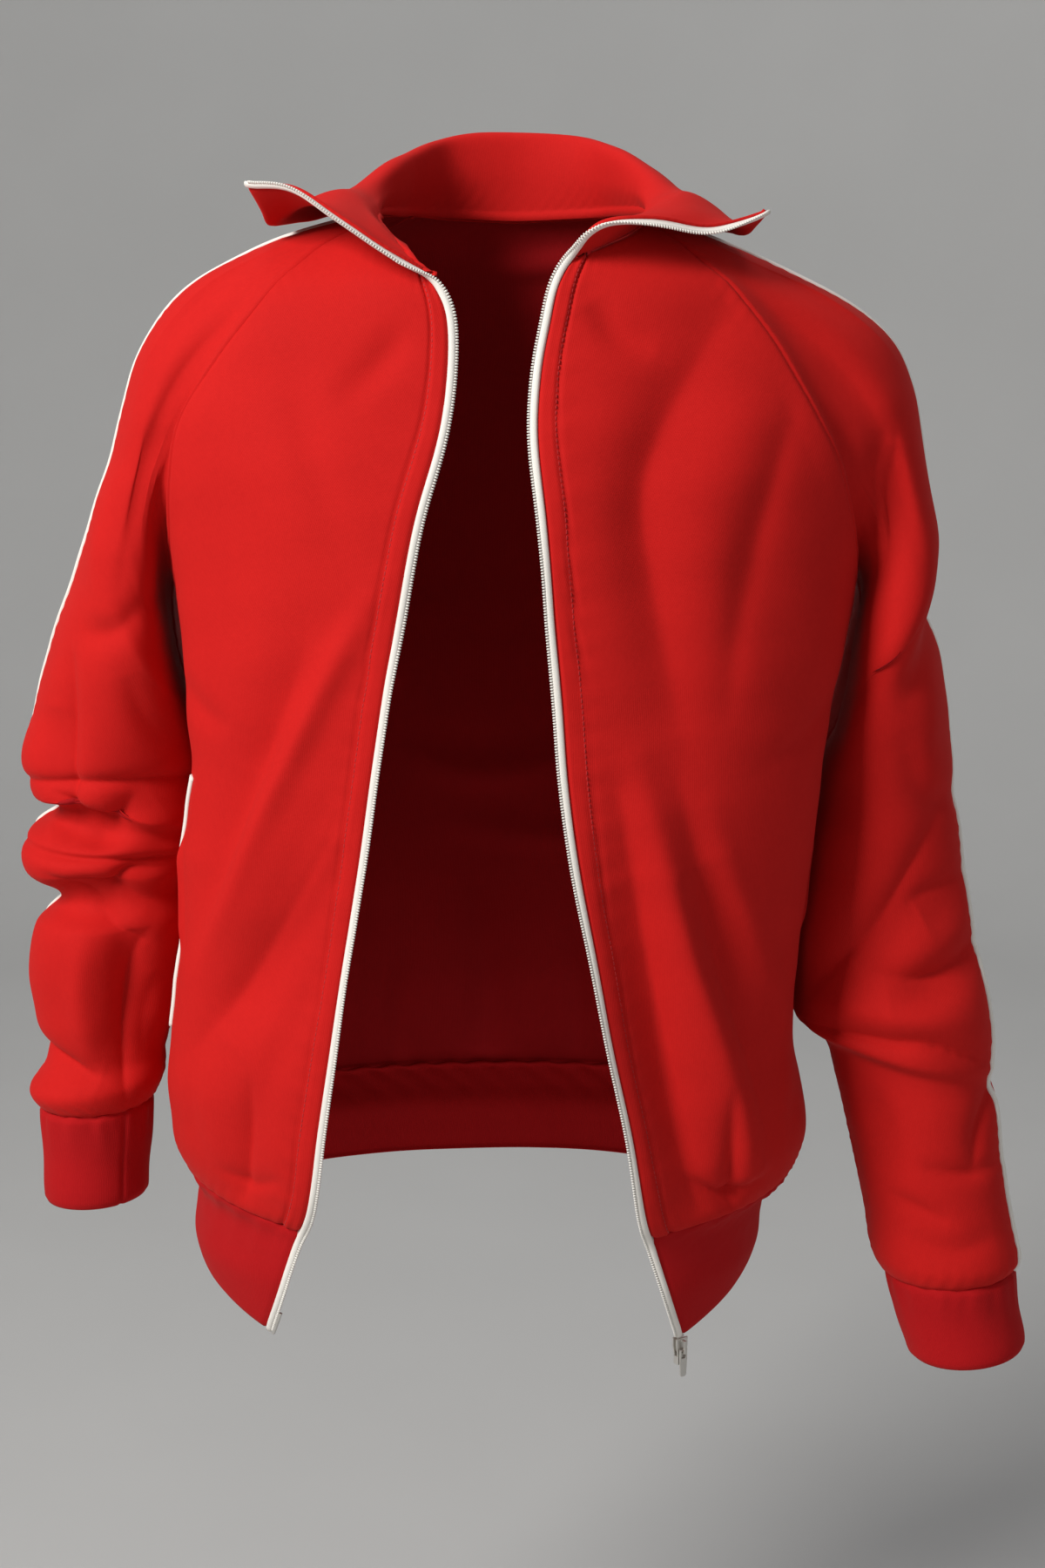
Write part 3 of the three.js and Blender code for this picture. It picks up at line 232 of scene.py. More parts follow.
# Folds: half width, depth (a ridge is negative) and a run of places across and up.
frontFolds = {
    "right": [
        (26, 7, [(-165, -300), (-178, -360), (-195, -410), (-205, -450)]),
        (22, -6, [(-132, -290), (-160, -345), (-185, -400), (-212, -448)]),
        (26, 8, [(-118, -365), (-145, -410), (-165, -440), (-182, -470)]),
        (19, 5, [(-164, -490), (-168, -545), (-160, -590)]),
    ],
    "left": [
        (26, 8, [(116, -50), (100, -85), (85, -120), (82, -165), (92, -225), (100, -275)]),
        (24, 3, [(166, -90), (154, -140), (145, -190), (140, -250)]),
        (20, 12, [(66, -360), (80, -420), (92, -470), (108, -530), (118, -575)]),
        (22, -8, [(82, -330), (95, -395), (110, -450), (130, -510), (142, -550)]),
        (22, 6, [(108, -355), (122, -400), (134, -450)]),
    ],
}
sleeveFolds = {
    "right": [
        (14, 6, [(-296, -275), (-296, -330)]),
        (14, 7, [(-300, -358), (-262, -350), (-226, -334)]),
        (12, 6, [(-300, -406), (-262, -394), (-228, -378)]),
        (16, 8, [(-252, -412), (-246, -455), (-256, -505)]),
    ],
    "left": [
        (20, 6, [(232, -108), (230, -140), (230, -172)]),
        (20, -6, [(256, -150), (248, -200), (237, -245), (226, -300), (216, -350)]),
        (16, 6, [(270, -365), (250, -400), (226, -432), (196, -470)]),
        (14, 5, [(262, -408), (290, -396)]),
        (14, 6, [(304, -437), (270, -452), (238, -460)]),
    ],
}
backFolds = [
    (30, 8, [(-150, -190), (-120, -240), (-80, -290)]),
    (30, 8, [(150, -200), (115, -250), (70, -310)]),
    (26, 7, [(-120, -380), (-135, -460), (-140, -545)]),
    (26, 8, [(95, -400), (110, -470), (120, -550)]),
    (24, 6, [(-30, -430), (-20, -500), (-24, -560)]),
]

# Finer creases than those folds: half width, depth (a ridge is negative), a run of places across
# and up, then how crisp (2, the usual, is a soft bell, less is sharper) and how far it leans.
frontCreases = {
    "right": [
        (15, 4.4, [(-123, -220), (-141, -268), (-163, -324), (-187, -382), (-208, -435)], 1.5, 0.25),
        (9, -3.6, [(-83, -193), (-113, -246), (-139, -299), (-170, -362), (-207, -438)]),
        (14, 4.4, [(-83, -281), (-110, -337), (-142, -392), (-179, -447), (-206, -486)], 1.4, -0.2),
        (10, -2.6, [(-70, -262), (-98, -318), (-130, -374), (-166, -430)]),
        (11, 1.3, [(-99, -382), (-126, -438), (-149, -484), (-163, -535)]),
        (5, 2.2, [(-164, -494), (-167, -536), (-172, -584)], 1.3, 0.3),
        (4.5, 1.6, [(-146, -556), (-166, -566), (-186, -560)], 1.3, 0.3),
        (8, 1.2, [(-198, -470), (-204, -520), (-196, -560)], 1.8, 0),
        (10, 1.6, [(-62, -38), (-78, -58), (-102, -80)]),
        (12, 1.2, [(-128, -60), (-118, -110), (-98, -170)]),
        (9, 1.6, [(-205, -250), (-192, -268), (-172, -276)], 1.8, 0),
    ],
    "left": [
        (14, 2.2, [(132, -16), (105, -61), (86, -96), (76, -133), (82, -180), (92, -232), (101, -280)],
         1.5, 0.25),
        (10, 1.5, [(168, -76), (156, -120), (144, -165), (133, -220), (128, -262)], 1.6, 0.2),
        (10, 4.6, [(62, -306), (72, -354), (81, -398), (89, -437), (97, -483), (106, -528), (118, -584)],
         1.3, 0.25),
        (10, -2.8, [(74, -290), (93, -360), (110, -421), (129, -483), (145, -544), (152, -580)]),
        (10, 2.6, [(98, -300), (118, -380), (133, -437), (146, -485), (156, -530)], 1.4, -0.2),
        (9, -1.8, [(117, -320), (137, -377), (159, -432), (173, -468)]),
        (5, 4.0, [(130, -500), (136, -544), (138, -590)], 1.2, 0.25),
        (4.5, 3.2, [(112, -556), (134, -568), (156, -560)], 1.2, 0.3),
        (8, 1.3, [(176, -440), (184, -500), (178, -556)], 1.8, 0),
        (9, 1.8, [(46, -22), (60, -40), (84, -50)]),
        (8, 1.6, [(196, -262), (180, -282), (158, -292)], 1.8, 0),
    ],
}
sleeveCreases = {
    "right": {
        "front": [
            (10, 4.6, [(-278, -238), (-281, -267), (-283, -295), (-284, -326), (-286, -352)], 1.1, 0.3),
            (8, 3.6, [(-336, -334), (-314, -327), (-269, -321), (-218, -322), (-196, -328)], 1.05, 0.35),
            (8, 3.4, [(-302, -332), (-287, -339), (-275, -348), (-261, -354), (-249, -347), (-239, -332)],
             1.1, 0),
            (9, -1.8, [(-304, -352), (-262, -362), (-222, -356)]),
            (8, 3.6, [(-336, -368), (-307, -370), (-255, -371), (-220, -376), (-200, -380)], 1.05, -0.35),
            (7, 2.8, [(-304, -385), (-289, -388), (-272, -387), (-256, -391), (-234, -401)], 1.05, 0.3),
            (5, 2.6, [(-255, -395), (-245, -380), (-218, -382)], 1.1, 0),
            (9, 3.2, [(-292, -393), (-268, -404), (-253, -412), (-232, -429)], 1.1, 0.35),
            (9, 3.4, [(-233, -420), (-243, -446), (-249, -475), (-252, -507), (-252, -536)], 1.1, 0.25),
            (8, 1.8, [(-228, -452), (-236, -478), (-242, -510)], 1.6, 0),
            (7, 4.2, [(-326, -498), (-295, -508), (-268, -517)], 1.1, 0.3),
            (9, -1.6, [(-276, -424), (-280, -466), (-274, -508)]),
            (14, 2.6, [(-214, -96), (-230, -130), (-236, -176)]),
            (10, -2.0, [(-238, -120), (-252, -160), (-258, -206)]),
            (9, 2.0, [(-220, -200), (-246, -222), (-270, -226)], 1.8, 0),
            (9, 1.6, [(-240, -250), (-230, -280), (-214, -300)], 1.8, 0),
        ],
        "back": [
            (5, 4.5, [(-314, -330), (-276, -338), (-240, -330), (-208, -326)], 1.4, 0.3),
            (8, -2.5, [(-300, -350), (-262, -358), (-222, -352)], 1.8, 0),
            (4.5, 4.5, [(-306, -370), (-270, -378), (-226, -372)], 1.4, -0.3),
            (5, 3.5, [(-294, -394), (-262, -402), (-226, -396)], 1.5, 0.3),
            (7, 3.0, [(-272, -238), (-262, -276), (-246, -312)], 1.7, 0.2),
            (7, 2.6, [(-238, -410), (-262, -432), (-296, -440)], 1.7, 0),
            (8, 2.6, [(-296, -470), (-272, -496), (-246, -512)], 1.8, 0),
            (16, 2.6, [(-206, -110), (-226, -150), (-238, -200)]),
            (7, -2.0, [(-300, -456), (-268, -478), (-240, -488)], 1.8, 0),
        ],
    },
    "left": {
        "front": [
            (8, 2.2, [(225, -98), (220, -128), (217, -160)], 1.7, 0.2),
            (9, 2.6, [(234, -96), (231, -145), (228, -196)], 1.6, -0.2),
            (13, -2.4, [(261, -140), (244, -184), (228, -223), (219, -256), (214, -304)]),
            (11, 2.2, [(278, -180), (258, -226), (240, -270)], 1.8, 0.2),
            (10, 3.2, [(274, -340), (248, -383), (226, -414), (200, -444), (186, -470)], 1.3, 0.25),
            (8, 2.2, [(250, -399), (270, -391), (294, -386)], 1.4, 0),
            (8, 3.0, [(308, -428), (279, -442), (255, -446), (226, -442)], 1.2, 0.25),
            (12, -2.2, [(196, -466), (236, -470), (272, -474), (304, -490)]),
            (8, 4.2, [(184, -486), (210, -484), (240, -486), (272, -490), (318, -514)], 1.05, -0.35),
            (7, 2.6, [(318, -520), (302, -544), (298, -572)], 1.3, 0.2),
            (6, 2.2, [(262, -570), (290, -574), (318, -574)], 1.3, 0),
            (6, 1.8, [(242, -590), (262, -598), (282, -606)], 1.4, 0),
            (10, 2.0, [(226, -520), (240, -552), (244, -590)]),
            (12, -1.8, [(262, -250), (258, -300), (268, -340)]),
            (10, 2.0, [(246, -300), (262, -330), (288, -340)], 1.8, 0),
            (9, 1.4, [(256, -616), (284, -624), (312, -618)], 1.6, 0),
        ],
        "back": [
            (8, 3.0, [(300, -440), (262, -452), (216, -456), (190, -462)], 1.6, 0.2),
            (5, 3.6, [(306, -500), (266, -502), (212, -488)], 1.4, -0.3),
            (8, 2.8, [(290, -340), (250, -372), (206, -398)], 1.7, 0.2),
            (8, 2.4, [(284, -388), (252, -414), (214, -428)], 1.7, 0),
            (9, -2.6, [(256, -180), (240, -230), (226, -286)], 1.8, 0),
            (12, 2.6, [(214, -120), (226, -160), (232, -210)]),
            (7, 2.2, [(316, -540), (286, -562), (250, -570)], 1.7, 0),
            (6, 2.0, [(312, -596), (286, -606), (254, -602)], 1.7, 0),
        ],
    },
}
backCreases = [
    (9, 2.6, [(-152, -180), (-118, -236), (-74, -292)], 1.8, 0.2),
    (9, 2.6, [(150, -192), (112, -252), (66, -312)], 1.8, -0.2),
    (8, 2.8, [(-118, -380), (-134, -460), (-138, -555)], 1.7, 0.2),
    (8, 3.0, [(94, -400), (110, -470), (118, -560)], 1.7, -0.2),
    (8, 2.4, [(-30, -430), (-19, -500), (-22, -566)], 1.8, 0),
    (7, 2.0, [(40, -470), (46, -520), (44, -568)], 1.7, 0),
    (7, 2.0, [(-78, -490), (-84, -530), (-80, -568)], 1.7, 0),
    (10, 1.8, [(-60, 6), (0, -4), (60, 6)]),
    (12, 2.0, [(-90, -330), (-20, -352), (60, -336)], 1.9, 0),
    (11, 1.8, [(-40, -388), (30, -396), (96, -374)], 1.9, 0),
    (8, -2.0, [(-104, -400), (-114, -470), (-116, -540)], 1.8, 0),
    (8, -2.0, [(74, -420), (88, -480), (94, -545)], 1.8, 0),
    (9, 2.0, [(176, -300), (150, -340), (120, -360)], 1.8, 0),
    (9, 2.0, [(-178, -290), (-150, -330), (-118, -352)], 1.8, 0),
]


def mix(a, b, t):
    # straight from a to b as t goes from 0 to 1
    return a + (b - a) * t


def smooth(low, high, value):
    # 0 below low, 1 above high, and three squares less two cubes of the share between
    t = np.clip((value - low) / (high - low), 0, 1)
    return t * t * (3 - 2 * t)


def bell(distance, width, power=2):
    # e to the minus of the distance in widths, to a power
    return np.exp(-((distance / width) ** power))


def unit(v):
    # each vector over its own length
    return v / np.maximum(np.linalg.norm(v, axis=-1, keepdims=True), 1e-9)


def point(x, y, z):
    # three arrays of one shape as an array of places
    return np.stack(np.broadcast_arrays(x, y, z), -1).astype(float)


def column(table, key, name, at):
    # a cubic through the rows of a table, each row's slope taken through its neighbours
    keys, values = table[key], table[name]
    order = np.arange(len(keys))
    low, high = np.maximum(order - 1, 0), np.minimum(order + 1, len(keys) - 1)
    slopes = (values[high] - values[low]) / (keys[high] - keys[low])
    at = np.asarray(at, float)
    i = np.clip(np.searchsorted(keys, at, side="right") - 1, 0, len(keys) - 2)
    span = keys[i + 1] - keys[i]
    t = np.clip((at - keys[i]) / span, 0, 1)
    h = t * t * (3 - 2 * t)
    bend = span * t * (1 - t) * ((1 - t) * slopes[i] - t * slopes[i + 1])
    return values[i] * (1 - h) + values[i + 1] * h + bend


def spline(values, at):
    # the same cubic through evenly numbered rows of an array
    order = np.arange(len(values))
    low, high = np.maximum(order - 1, 0), np.minimum(order + 1, len(values) - 1)
    spare = (1,) * (values.ndim - 1)
    slopes = (values[high] - values[low]) / (high - low).reshape(-1, *spare)
    i = np.clip(np.floor(at).astype(int), 0, len(values) - 2)
    t = (at - i).reshape(-1, *spare)
    h = t * t * (3 - 2 * t)
    bend = t * (1 - t) * ((1 - t) * slopes[i] - t * slopes[i + 1])
    return values[i] * (1 - h) + values[i + 1] * h + bend


def spline2(grid, rowAt, columnAt):
    # the cubic down the rows, then across the columns
    down = spline(grid, rowAt)
    return np.swapaxes(spline(np.swapaxes(down, 0, 1), columnAt), 0, 1)


def bodyPoint(side, turn, z):
    # a level superellipse: the cosine and sine of the turn, to the power of two over the
    # squareness, times the half width and the depth, less the hollow that the arm presses in
    turn, z = np.broadcast_arrays(np.asarray(turn, float), np.asarray(z, float))
    c, s = np.cos(np.radians(turn)), np.sin(np.radians(turn))
    power = 2 / body["squareness"]
    depth = np.where(turn < 0, column(bodySections, "z", "front", z), column(bodySections, "z", "back", z))
    hollow = column(bodySections, "z", side + "Hollow", z) * bell(turn - body["pressAt"], body["pressWidth"])
    x = column(bodySections, "z", side, z) * np.sign(c) * abs(c) ** power - hollow * np.maximum(c, 0)
    return point(signOf[side] * x, depth * np.sign(s) * abs(s) ** power, z)


def edgeTurn(side, z):
    # the turn of the zip edge: bodyPoint's width worked backwards, to the power of half the squareness
    x = column(frontEdges, "z", side, z) * signOf[side]
    share = np.clip(x / column(bodySections, "z", side, z), 0.01, 1)
    return -np.degrees(np.arccos(share ** (body["squareness"] / 2)))


def foldDepth(folds, x, z):
    # each fold is a trough along its run: its depth, times a bell of the distance from the run
    # that is wider on one side where it leans, times a sine that fades it towards both ends
    total = np.zeros(np.shape(x))
    place = np.stack([x, z], -1)[..., None, :]
    for width, depth, run, *shape in folds:
        crisp, lean = shape or (2, 0)
        line = spline(np.array(run, float), np.linspace(0, len(run) - 1, 6 * (len(run) - 1) + 1))
        step = np.diff(line, axis=0)
        away = place - line[:-1]
        t = np.clip((away * step).sum(-1) / (step**2).sum(-1), 0, 1)
        off = away - t[..., None] * step
        distance = np.hypot(off[..., 0], off[..., 1])
        k = distance.argmin(-1)[..., None]
        nearest = np.take_along_axis(distance, k, -1)[..., 0]
        cross = off[..., 0] * step[:, 1] - off[..., 1] * step[:, 0]
        sine = np.take_along_axis(cross / (distance * np.hypot(*step.T) + 1e-6), k, -1)[..., 0]
        along = (k[..., 0] + np.take_along_axis(t, k, -1)[..., 0]) / len(step)
        ends = np.sin(np.pi * mix(0.05, 0.95, along)) ** 0.8
        total += depth * ends * bell(nearest, width * (1 + lean * sine), crisp)
    return total


ripples = {"seed": 7, "count": 9, "longest": 150, "shortest": 38, "height": 0.34}
random = np.random.default_rng(ripples["seed"])
rippleWays = unit(random.normal(size=(ripples["count"], 3)) * (1, 1, 0.6))
rippleLengths = np.geomspace(ripples["longest"], ripples["shortest"], ripples["count"])
ripplePhases = random.uniform(0, 2 * np.pi, ripples["count"])


def ripple(points):
    # the uneven hang of cloth: a sum of slow sine waves in space, longer ones higher
    waves = np.sin(2 * np.pi * (points @ rippleWays.T) / rippleLengths + ripplePhases)
    heights = ripples["height"] * np.sqrt(rippleLengths / ripples["longest"])
    return (waves * heights).sum(-1)


def spread(spans, perSpan, near=(0.03, 0.09)):
    # even places from 0 to spans, and two more close to each end
    ends = [*near, *(spans - n for n in near)]
    return np.sort(np.concatenate([np.linspace(0, spans, spans * perSpan + 1), ends]))


def outwardOf(points, middle, wrapped=False):
    # the cross product of the grid's slopes across and along, turned away from the middle
    if wrapped:
        across = np.roll(points, -1, 1) - np.roll(points, 1, 1)
    else:
        across = np.gradient(points, axis=1)
    normal = unit(np.cross(across, np.gradient(points, axis=0)))
    return normal if (normal * (points - middle)).sum() > 0 else -normal


def fromEdges(points):
    # how far each point is from the four borders, along the cloth
    across = np.linalg.norm(np.diff(points, axis=1, prepend=points[:, :1]), axis=-1).cumsum(1)
    along = np.linalg.norm(np.diff(points, axis=0, prepend=points[:1]), axis=-1).cumsum(0)
    return {"first": across, "last": across[:, -1:] - across, "top": along, "bottom": along[-1:] - along}


seamLook = {"dip": 1.5, "width": 1.7, "pucker": 0.36, "reach": 14, "flat": 2.2, "pitch": 9.5, "lap": 1.0}
borderAt = {
    "first": (np.s_[:, 0], np.s_[:, 1]),
    "last": (np.s_[:, -1], np.s_[:, -2]),
    "top": (np.s_[0], np.s_[1]),
    "bottom": (np.s_[-1], np.s_[-2]),
}


def bodyOut(points):
    # the cloth's normal, away from the upright line through the origin
    return outwardOf(points, points * (0, 0, 1))


def seamed(points, outward, borders, lap=seamLook["lap"]):
    # beside each sewn border the cloth rolls down into the seam and puckers in short waves,
    # and the border itself steps past the seam, so that no light shows through it
    away = fromEdges(points)
    lift = np.zeros(points.shape[:2])
    for border in borders:
        d = away[border]
        run = away["top"] if border in ("first", "last") else away["first"]
        swell = 0.6 + 0.4 * np.sin(2 * np.pi * run / 71 + 1.3)
        pucker = np.sin(2 * np.pi * run / seamLook["pitch"] + 1.7 * np.sin(run / 23))
        lift -= seamLook["dip"] * bell(d, seamLook["width"])
        near = bell(d, seamLook["reach"]) * (1 - bell(d, seamLook["flat"]))
        lift += seamLook["pucker"] * near * pucker * swell
    points = points + outward * lift[..., None]
    for border in borders:
        edge, inner = borderAt[border]
        points[edge] += lap * unit(points[edge] - points[inner])
    return points


neckPoint = {"back": 3, "reach": 14}


def blunted(points, corner, beside):
    # where front and collar meet, the points near the corner draw back along the seam
    away = np.linalg.norm(points - points[corner], axis=-1)[..., None]
    along = unit(points[beside] - points[corner])
    return points + neckPoint["back"] * bell(away, neckPoint["reach"]) * along


# the shares of a panel over which its folds fade in: from the seam beside, the top and the bottom
fades = {"body": (0.12, 0.06, 0.025), "sleeveFolds": (0.12, 0.1, 0.05), "sleeveCreases": (0.1, 0.06, 0.03)}


def fading(kind, beside, down):
    # the smooth steps from the seam, the top and the bottom, times each other
    seam, top, bottom = fades[kind]
    return smooth(0, seam, beside) * smooth(0, top, down) * smooth(0, bottom, 1 - down)


def outerEnd(side, row, toFront):
    # the raglan seam down to the underarm, then the side seam down to the waistband
    at = np.clip(row / steps["raglan"], 0, 1)
    turnName, zName = (side, "z") if toFront else ("back", "backZ")
    below = row > steps["raglan"]
    z = mix(body["underarm"], bandTop["side"], (row - steps["raglan"]) / steps["side"])
    turn = column(raglanSeam, "at", turnName, at)
    return np.where(below, 0, turn), np.where(below, z, column(raglanSeam, "at", zName, at))


def frontBase(side, rowAt, columnAt):
    # each row runs from the zip edge to the outer seam, and the top rows bend to the neck seam
    row, u = np.meshgrid(rowAt, columnAt / steps["front"], indexing="ij")
    down = row / bodyRows
    neck = neckSeam[side]
    endTurn, endZ = outerEnd(side, row, True)
    edgeZ = mix(neck["z"][0], bandTop["front"], down)
    bend = (1 - smooth(0, 0.3, down)) ** 2
    at = u * neckCorner["front"]
    topTurn = column(neck, "at", "turn", at) - mix(neck["turn"][0], neck["turn"][3], u)
    topZ = column(neck, "at", "z", at) - mix(neck["z"][0], neck["z"][3], u)
    turn = mix(edgeTurn(side, edgeZ), endTurn, u) + topTurn * bend
    points = bodyPoint(side, turn, mix(edgeZ, endZ, u) + topZ * bend)
    return points, fading("body", 1 - u, down)


def backBase(rowAt, columnAt):
    # each row runs from the right seam through the middle of the back to the left seam
    half = steps["back"] / 2
    row, c = np.meshgrid(rowAt, columnAt, indexing="ij")
    down, u = row / bodyRows, abs(c - half) / half
    bend = (1 - smooth(0, 0.3, down)) ** 2
    at = mix(neckCorner["middle"], neckCorner["back"], u)
    halves = {}
    for side, neck in neckSeam.items():
        endTurn, endZ = outerEnd(side, row, False)
        topTurn = column(neck, "at", "turn", at) - mix(neck["turn"][7], neck["turn"][5], u)
        topZ = column(neck, "at", "z", at) - mix(neck["z"][7], neck["z"][5], u)
        z = mix(mix(neck["z"][7], bandTop["back"], down), endZ, u) + topZ * bend
        halves[side] = bodyPoint(side, mix(90, endTurn, u) + topTurn * bend, z)
    points = np.where((c <= half)[..., None], halves["right"], halves["left"])
    return points, fading("body", 1 - u, down)


def ringPoint(sections, at, angle):
    # a sleeve section: 0 degrees is outside, 90 the front, 180 inside, -90 the back
    at, angle = np.broadcast_arrays(np.asarray(at, float), np.asarray(angle, float))
    get = {name: column(sections, "at", name, at) for name in sections if name != "at"}
    c, s = np.cos(np.radians(angle)), np.sin(np.radians(angle))
    inwards = (1 - c) / 2
    depth = np.where(s > 0, get["front"], get["back"])
    x, z = mix(get["outX"], get["inX"], inwards), mix(get["outZ"], get["inZ"], inwards)
    return point(x, get["midY"] - depth * s, z)


def sleeveBase(side, rowAt, columnAt):
    # over the yoke each column is a cubic from the seam, which it leaves along the shoulder,
    # to the first arm ring; below it follows the rings; the share is 1 at the underarm
    sections, neck = sleeveSections[side], neckSeam[side]
    toFront = columnAt >= halfRound
    sign = np.where(toFront, 1, -1)
    step = abs(columnAt - halfRound)
    share = step / halfRound
    corner = np.where(toFront, neckCorner["front"], neckCorner["back"])
    at = mix(neckCorner["top"], corner, np.minimum(step / steps["neck"], 1))
    onNeck = step <= steps["neck"]
    frontTurn, frontZ = outerEnd(side, step - steps["neck"], True)
    backTurn, backZ = outerEnd(side, step - steps["neck"], False)
    turn = np.where(onNeck, column(neck, "at", "turn", at), np.where(toFront, frontTurn, backTurn))
    z = np.where(onNeck, column(neck, "at", "z", at), np.where(toFront, frontZ, backZ))

    def angleAt(ring):
        # straight from the turned top seam to the underarm
        return mix(-column(sections, "at", "turn", ring), 180 * sign, share)

    start = bodyPoint(side, turn, z)
    end = ringPoint(sections, 0, angleAt(0))
    beyond = ringPoint(sections, 0.5, angleAt(0.5))
    reach = np.linalg.norm(end - start, axis=-1)[:, None]
    flat = smooth(0.3, 0.7, share)
    along = unit(bodyPoint(side, turn * 0.9, z - mix(6, 0.5, flat)) - start)
    along[:, 2] += body["shoulderLift"][side] * (1 - smooth(0, 0.5, share))
    leave = unit(mix(along, np.array([signOf[side], 0, 0]), smooth(0.45, 0.85, share)[:, None]))
    leave = leave * reach * mix(body["yokeLeave"], 0.8, smooth(0, 0.8, share))[:, None]
    arrive = unit(beyond - end) * reach * mix(body["yokeArrive"][side], 0.9, share)[:, None]
    row = rowAt[:, None, None]
    t = np.clip(row / steps["yoke"], 0, 1)
    yoke = mix(start, end, t * t * (3 - 2 * t)) + leave * t * (1 - t) ** 2 - arrive * t * t * (1 - t)
    ring = sections["at"][-1] * np.clip(rowAt - steps["yoke"], 0, None)[:, None] / steps["arm"]
    angle = mix(-column(sections, "at", "turn", ring), 180 * sign, share)
    return np.where(row < steps["yoke"], yoke, ringPoint(sections, ring, angle))


def evened(grid):
    # beside the raglan seams each yoke point moves half way to its four neighbours' middle
    grid = grid.copy()
    count = 2 * halfRound
    share = abs(np.arange(count) - halfRound) / halfRound
    amount = 0.5 * smooth(0.3, 0.5, share)[:, None]
    inner = slice(1, steps["yoke"] + 2)
    for _ in range(body["evenPasses"]):
        around = np.roll(grid[inner, :count], 1, 1) + grid[inner, 1:]
        middle = (grid[: steps["yoke"] + 1, :count] + grid[2 : steps["yoke"] + 3, :count] + around) / 4
        grid[inner, :count] = mix(grid[inner, :count], middle, amount)
        grid[inner, -1] = grid[inner, 0]
    return grid


def sleeveSurface(side, rowAt, columnAt):
    # the coarse yoke's evening is carried over to the fine grid by cubics
    coarse = sleeveBase(side, np.arange(steps["yoke"] + steps["arm"] + 1.0), np.arange(2 * halfRound + 1.0))
    points = sleeveBase(side, rowAt, columnAt) + spline2(evened(coarse) - coarse, rowAt, columnAt)
    middle = (points[:, columnAt == halfRound] + points[:, :1]) / 2
    signed = (columnAt - halfRound) / halfRound
    share = abs(signed)
    down = rowAt[:, None] / rowAt[-1]
    x, z = points[..., 0], points[..., 2]
    fade = smooth(0, fades["sleeveFolds"][0], share) * fading("sleeveFolds", 1 - share, down)
    depth = fade * foldDepth(sleeveFolds[side], x, z)
    inFront = smooth(-0.2, 0.1, signed)
    fine = inFront * foldDepth(sleeveCreases[side]["front"], x, z)
    fine = fine + (1 - inFront) * foldDepth(sleeveCreases[side]["back"], x, z)
    settled = fading("sleeveCreases", 1 - share, down)
    lift = (ripple(points) - sleeve["creases"][side] * fine) * settled - depth
    points = points + outwardOf(points, middle) * lift[..., None]
    # beside the arm's first ring each row moves towards the middle of its neighbours
    past = (rowAt - steps["yoke"])[1:-1, None, None]
    amount = 0.5 * smooth(-1.6, -0.4, past) * smooth(-2.2, -0.8, -past)
    for _ in range(sleeve["eased"][side]):
        points[1:-1] = mix(points[1:-1], (points[:-2] + points[2:]) / 2, amount)
    return points, middle


def collarSurface(rowAt, columnAt):
    # ribs carried round the neck, each a smooth curve from the seam over the roll to the edge
    ribs = []
    for seam, side, *places in collarRibs:
        neck = neckSeam[side]
        foot = bodyPoint(side, column(neck, "at", "turn", seam), column(neck, "at", "z", seam))
        stand = np.array(places[0], float)
        ribs.append([foot + 1.4 * unit(stand - foot), *places])
    return np.swapaxes(spline2(np.array(ribs, float), columnAt, rowAt), 0, 1)


def bandSurface(rowAt, columnAt):
    # level rows from the right zip edge round the back to the left one
    half = 15
    down, c = np.meshgrid(rowAt, columnAt, indexing="ij")
    u = abs(c - half) / half
    frontZ = mix(bandTop["front"], bandBottom["front"], down)
    halves = {}
    for side in signOf:
        start = edgeTurn(side, frontZ)
        turn = mix(90, start, u)
        levels = []
        for ends in (bandTop, bandBottom):
            behind = mix(ends["side"], ends["back"], turn / 90)
            levels.append(np.where(turn > 0, behind, mix(ends["side"], ends["front"], turn / start)))
        halves[side] = bodyPoint(side, turn, mix(levels[0], levels[1], down))
    return np.where((c <= half)[..., None], halves["right"], halves["left"])


class Signal:
    # a socket that takes part in sums and products, each of which adds a Math node
    def __init__(self, maker, socket):
        self.maker, self.socket = maker, socket

    def math(self, operation, a, b):
        return self.maker.node("ShaderNodeMath", {"operation": operation}, {0: a, 1: b})

    def __add__(self, other):
        return self.math("ADD", self, other)

    def __sub__(self, other):
        return self.math("SUBTRACT", self, other)

    def __mul__(self, other):
        return self.math("MULTIPLY", self, other)

    def __rsub__(self, other):
        return self.math("SUBTRACT", other, self)

    __radd__, __rmul__ = __add__, __mul__


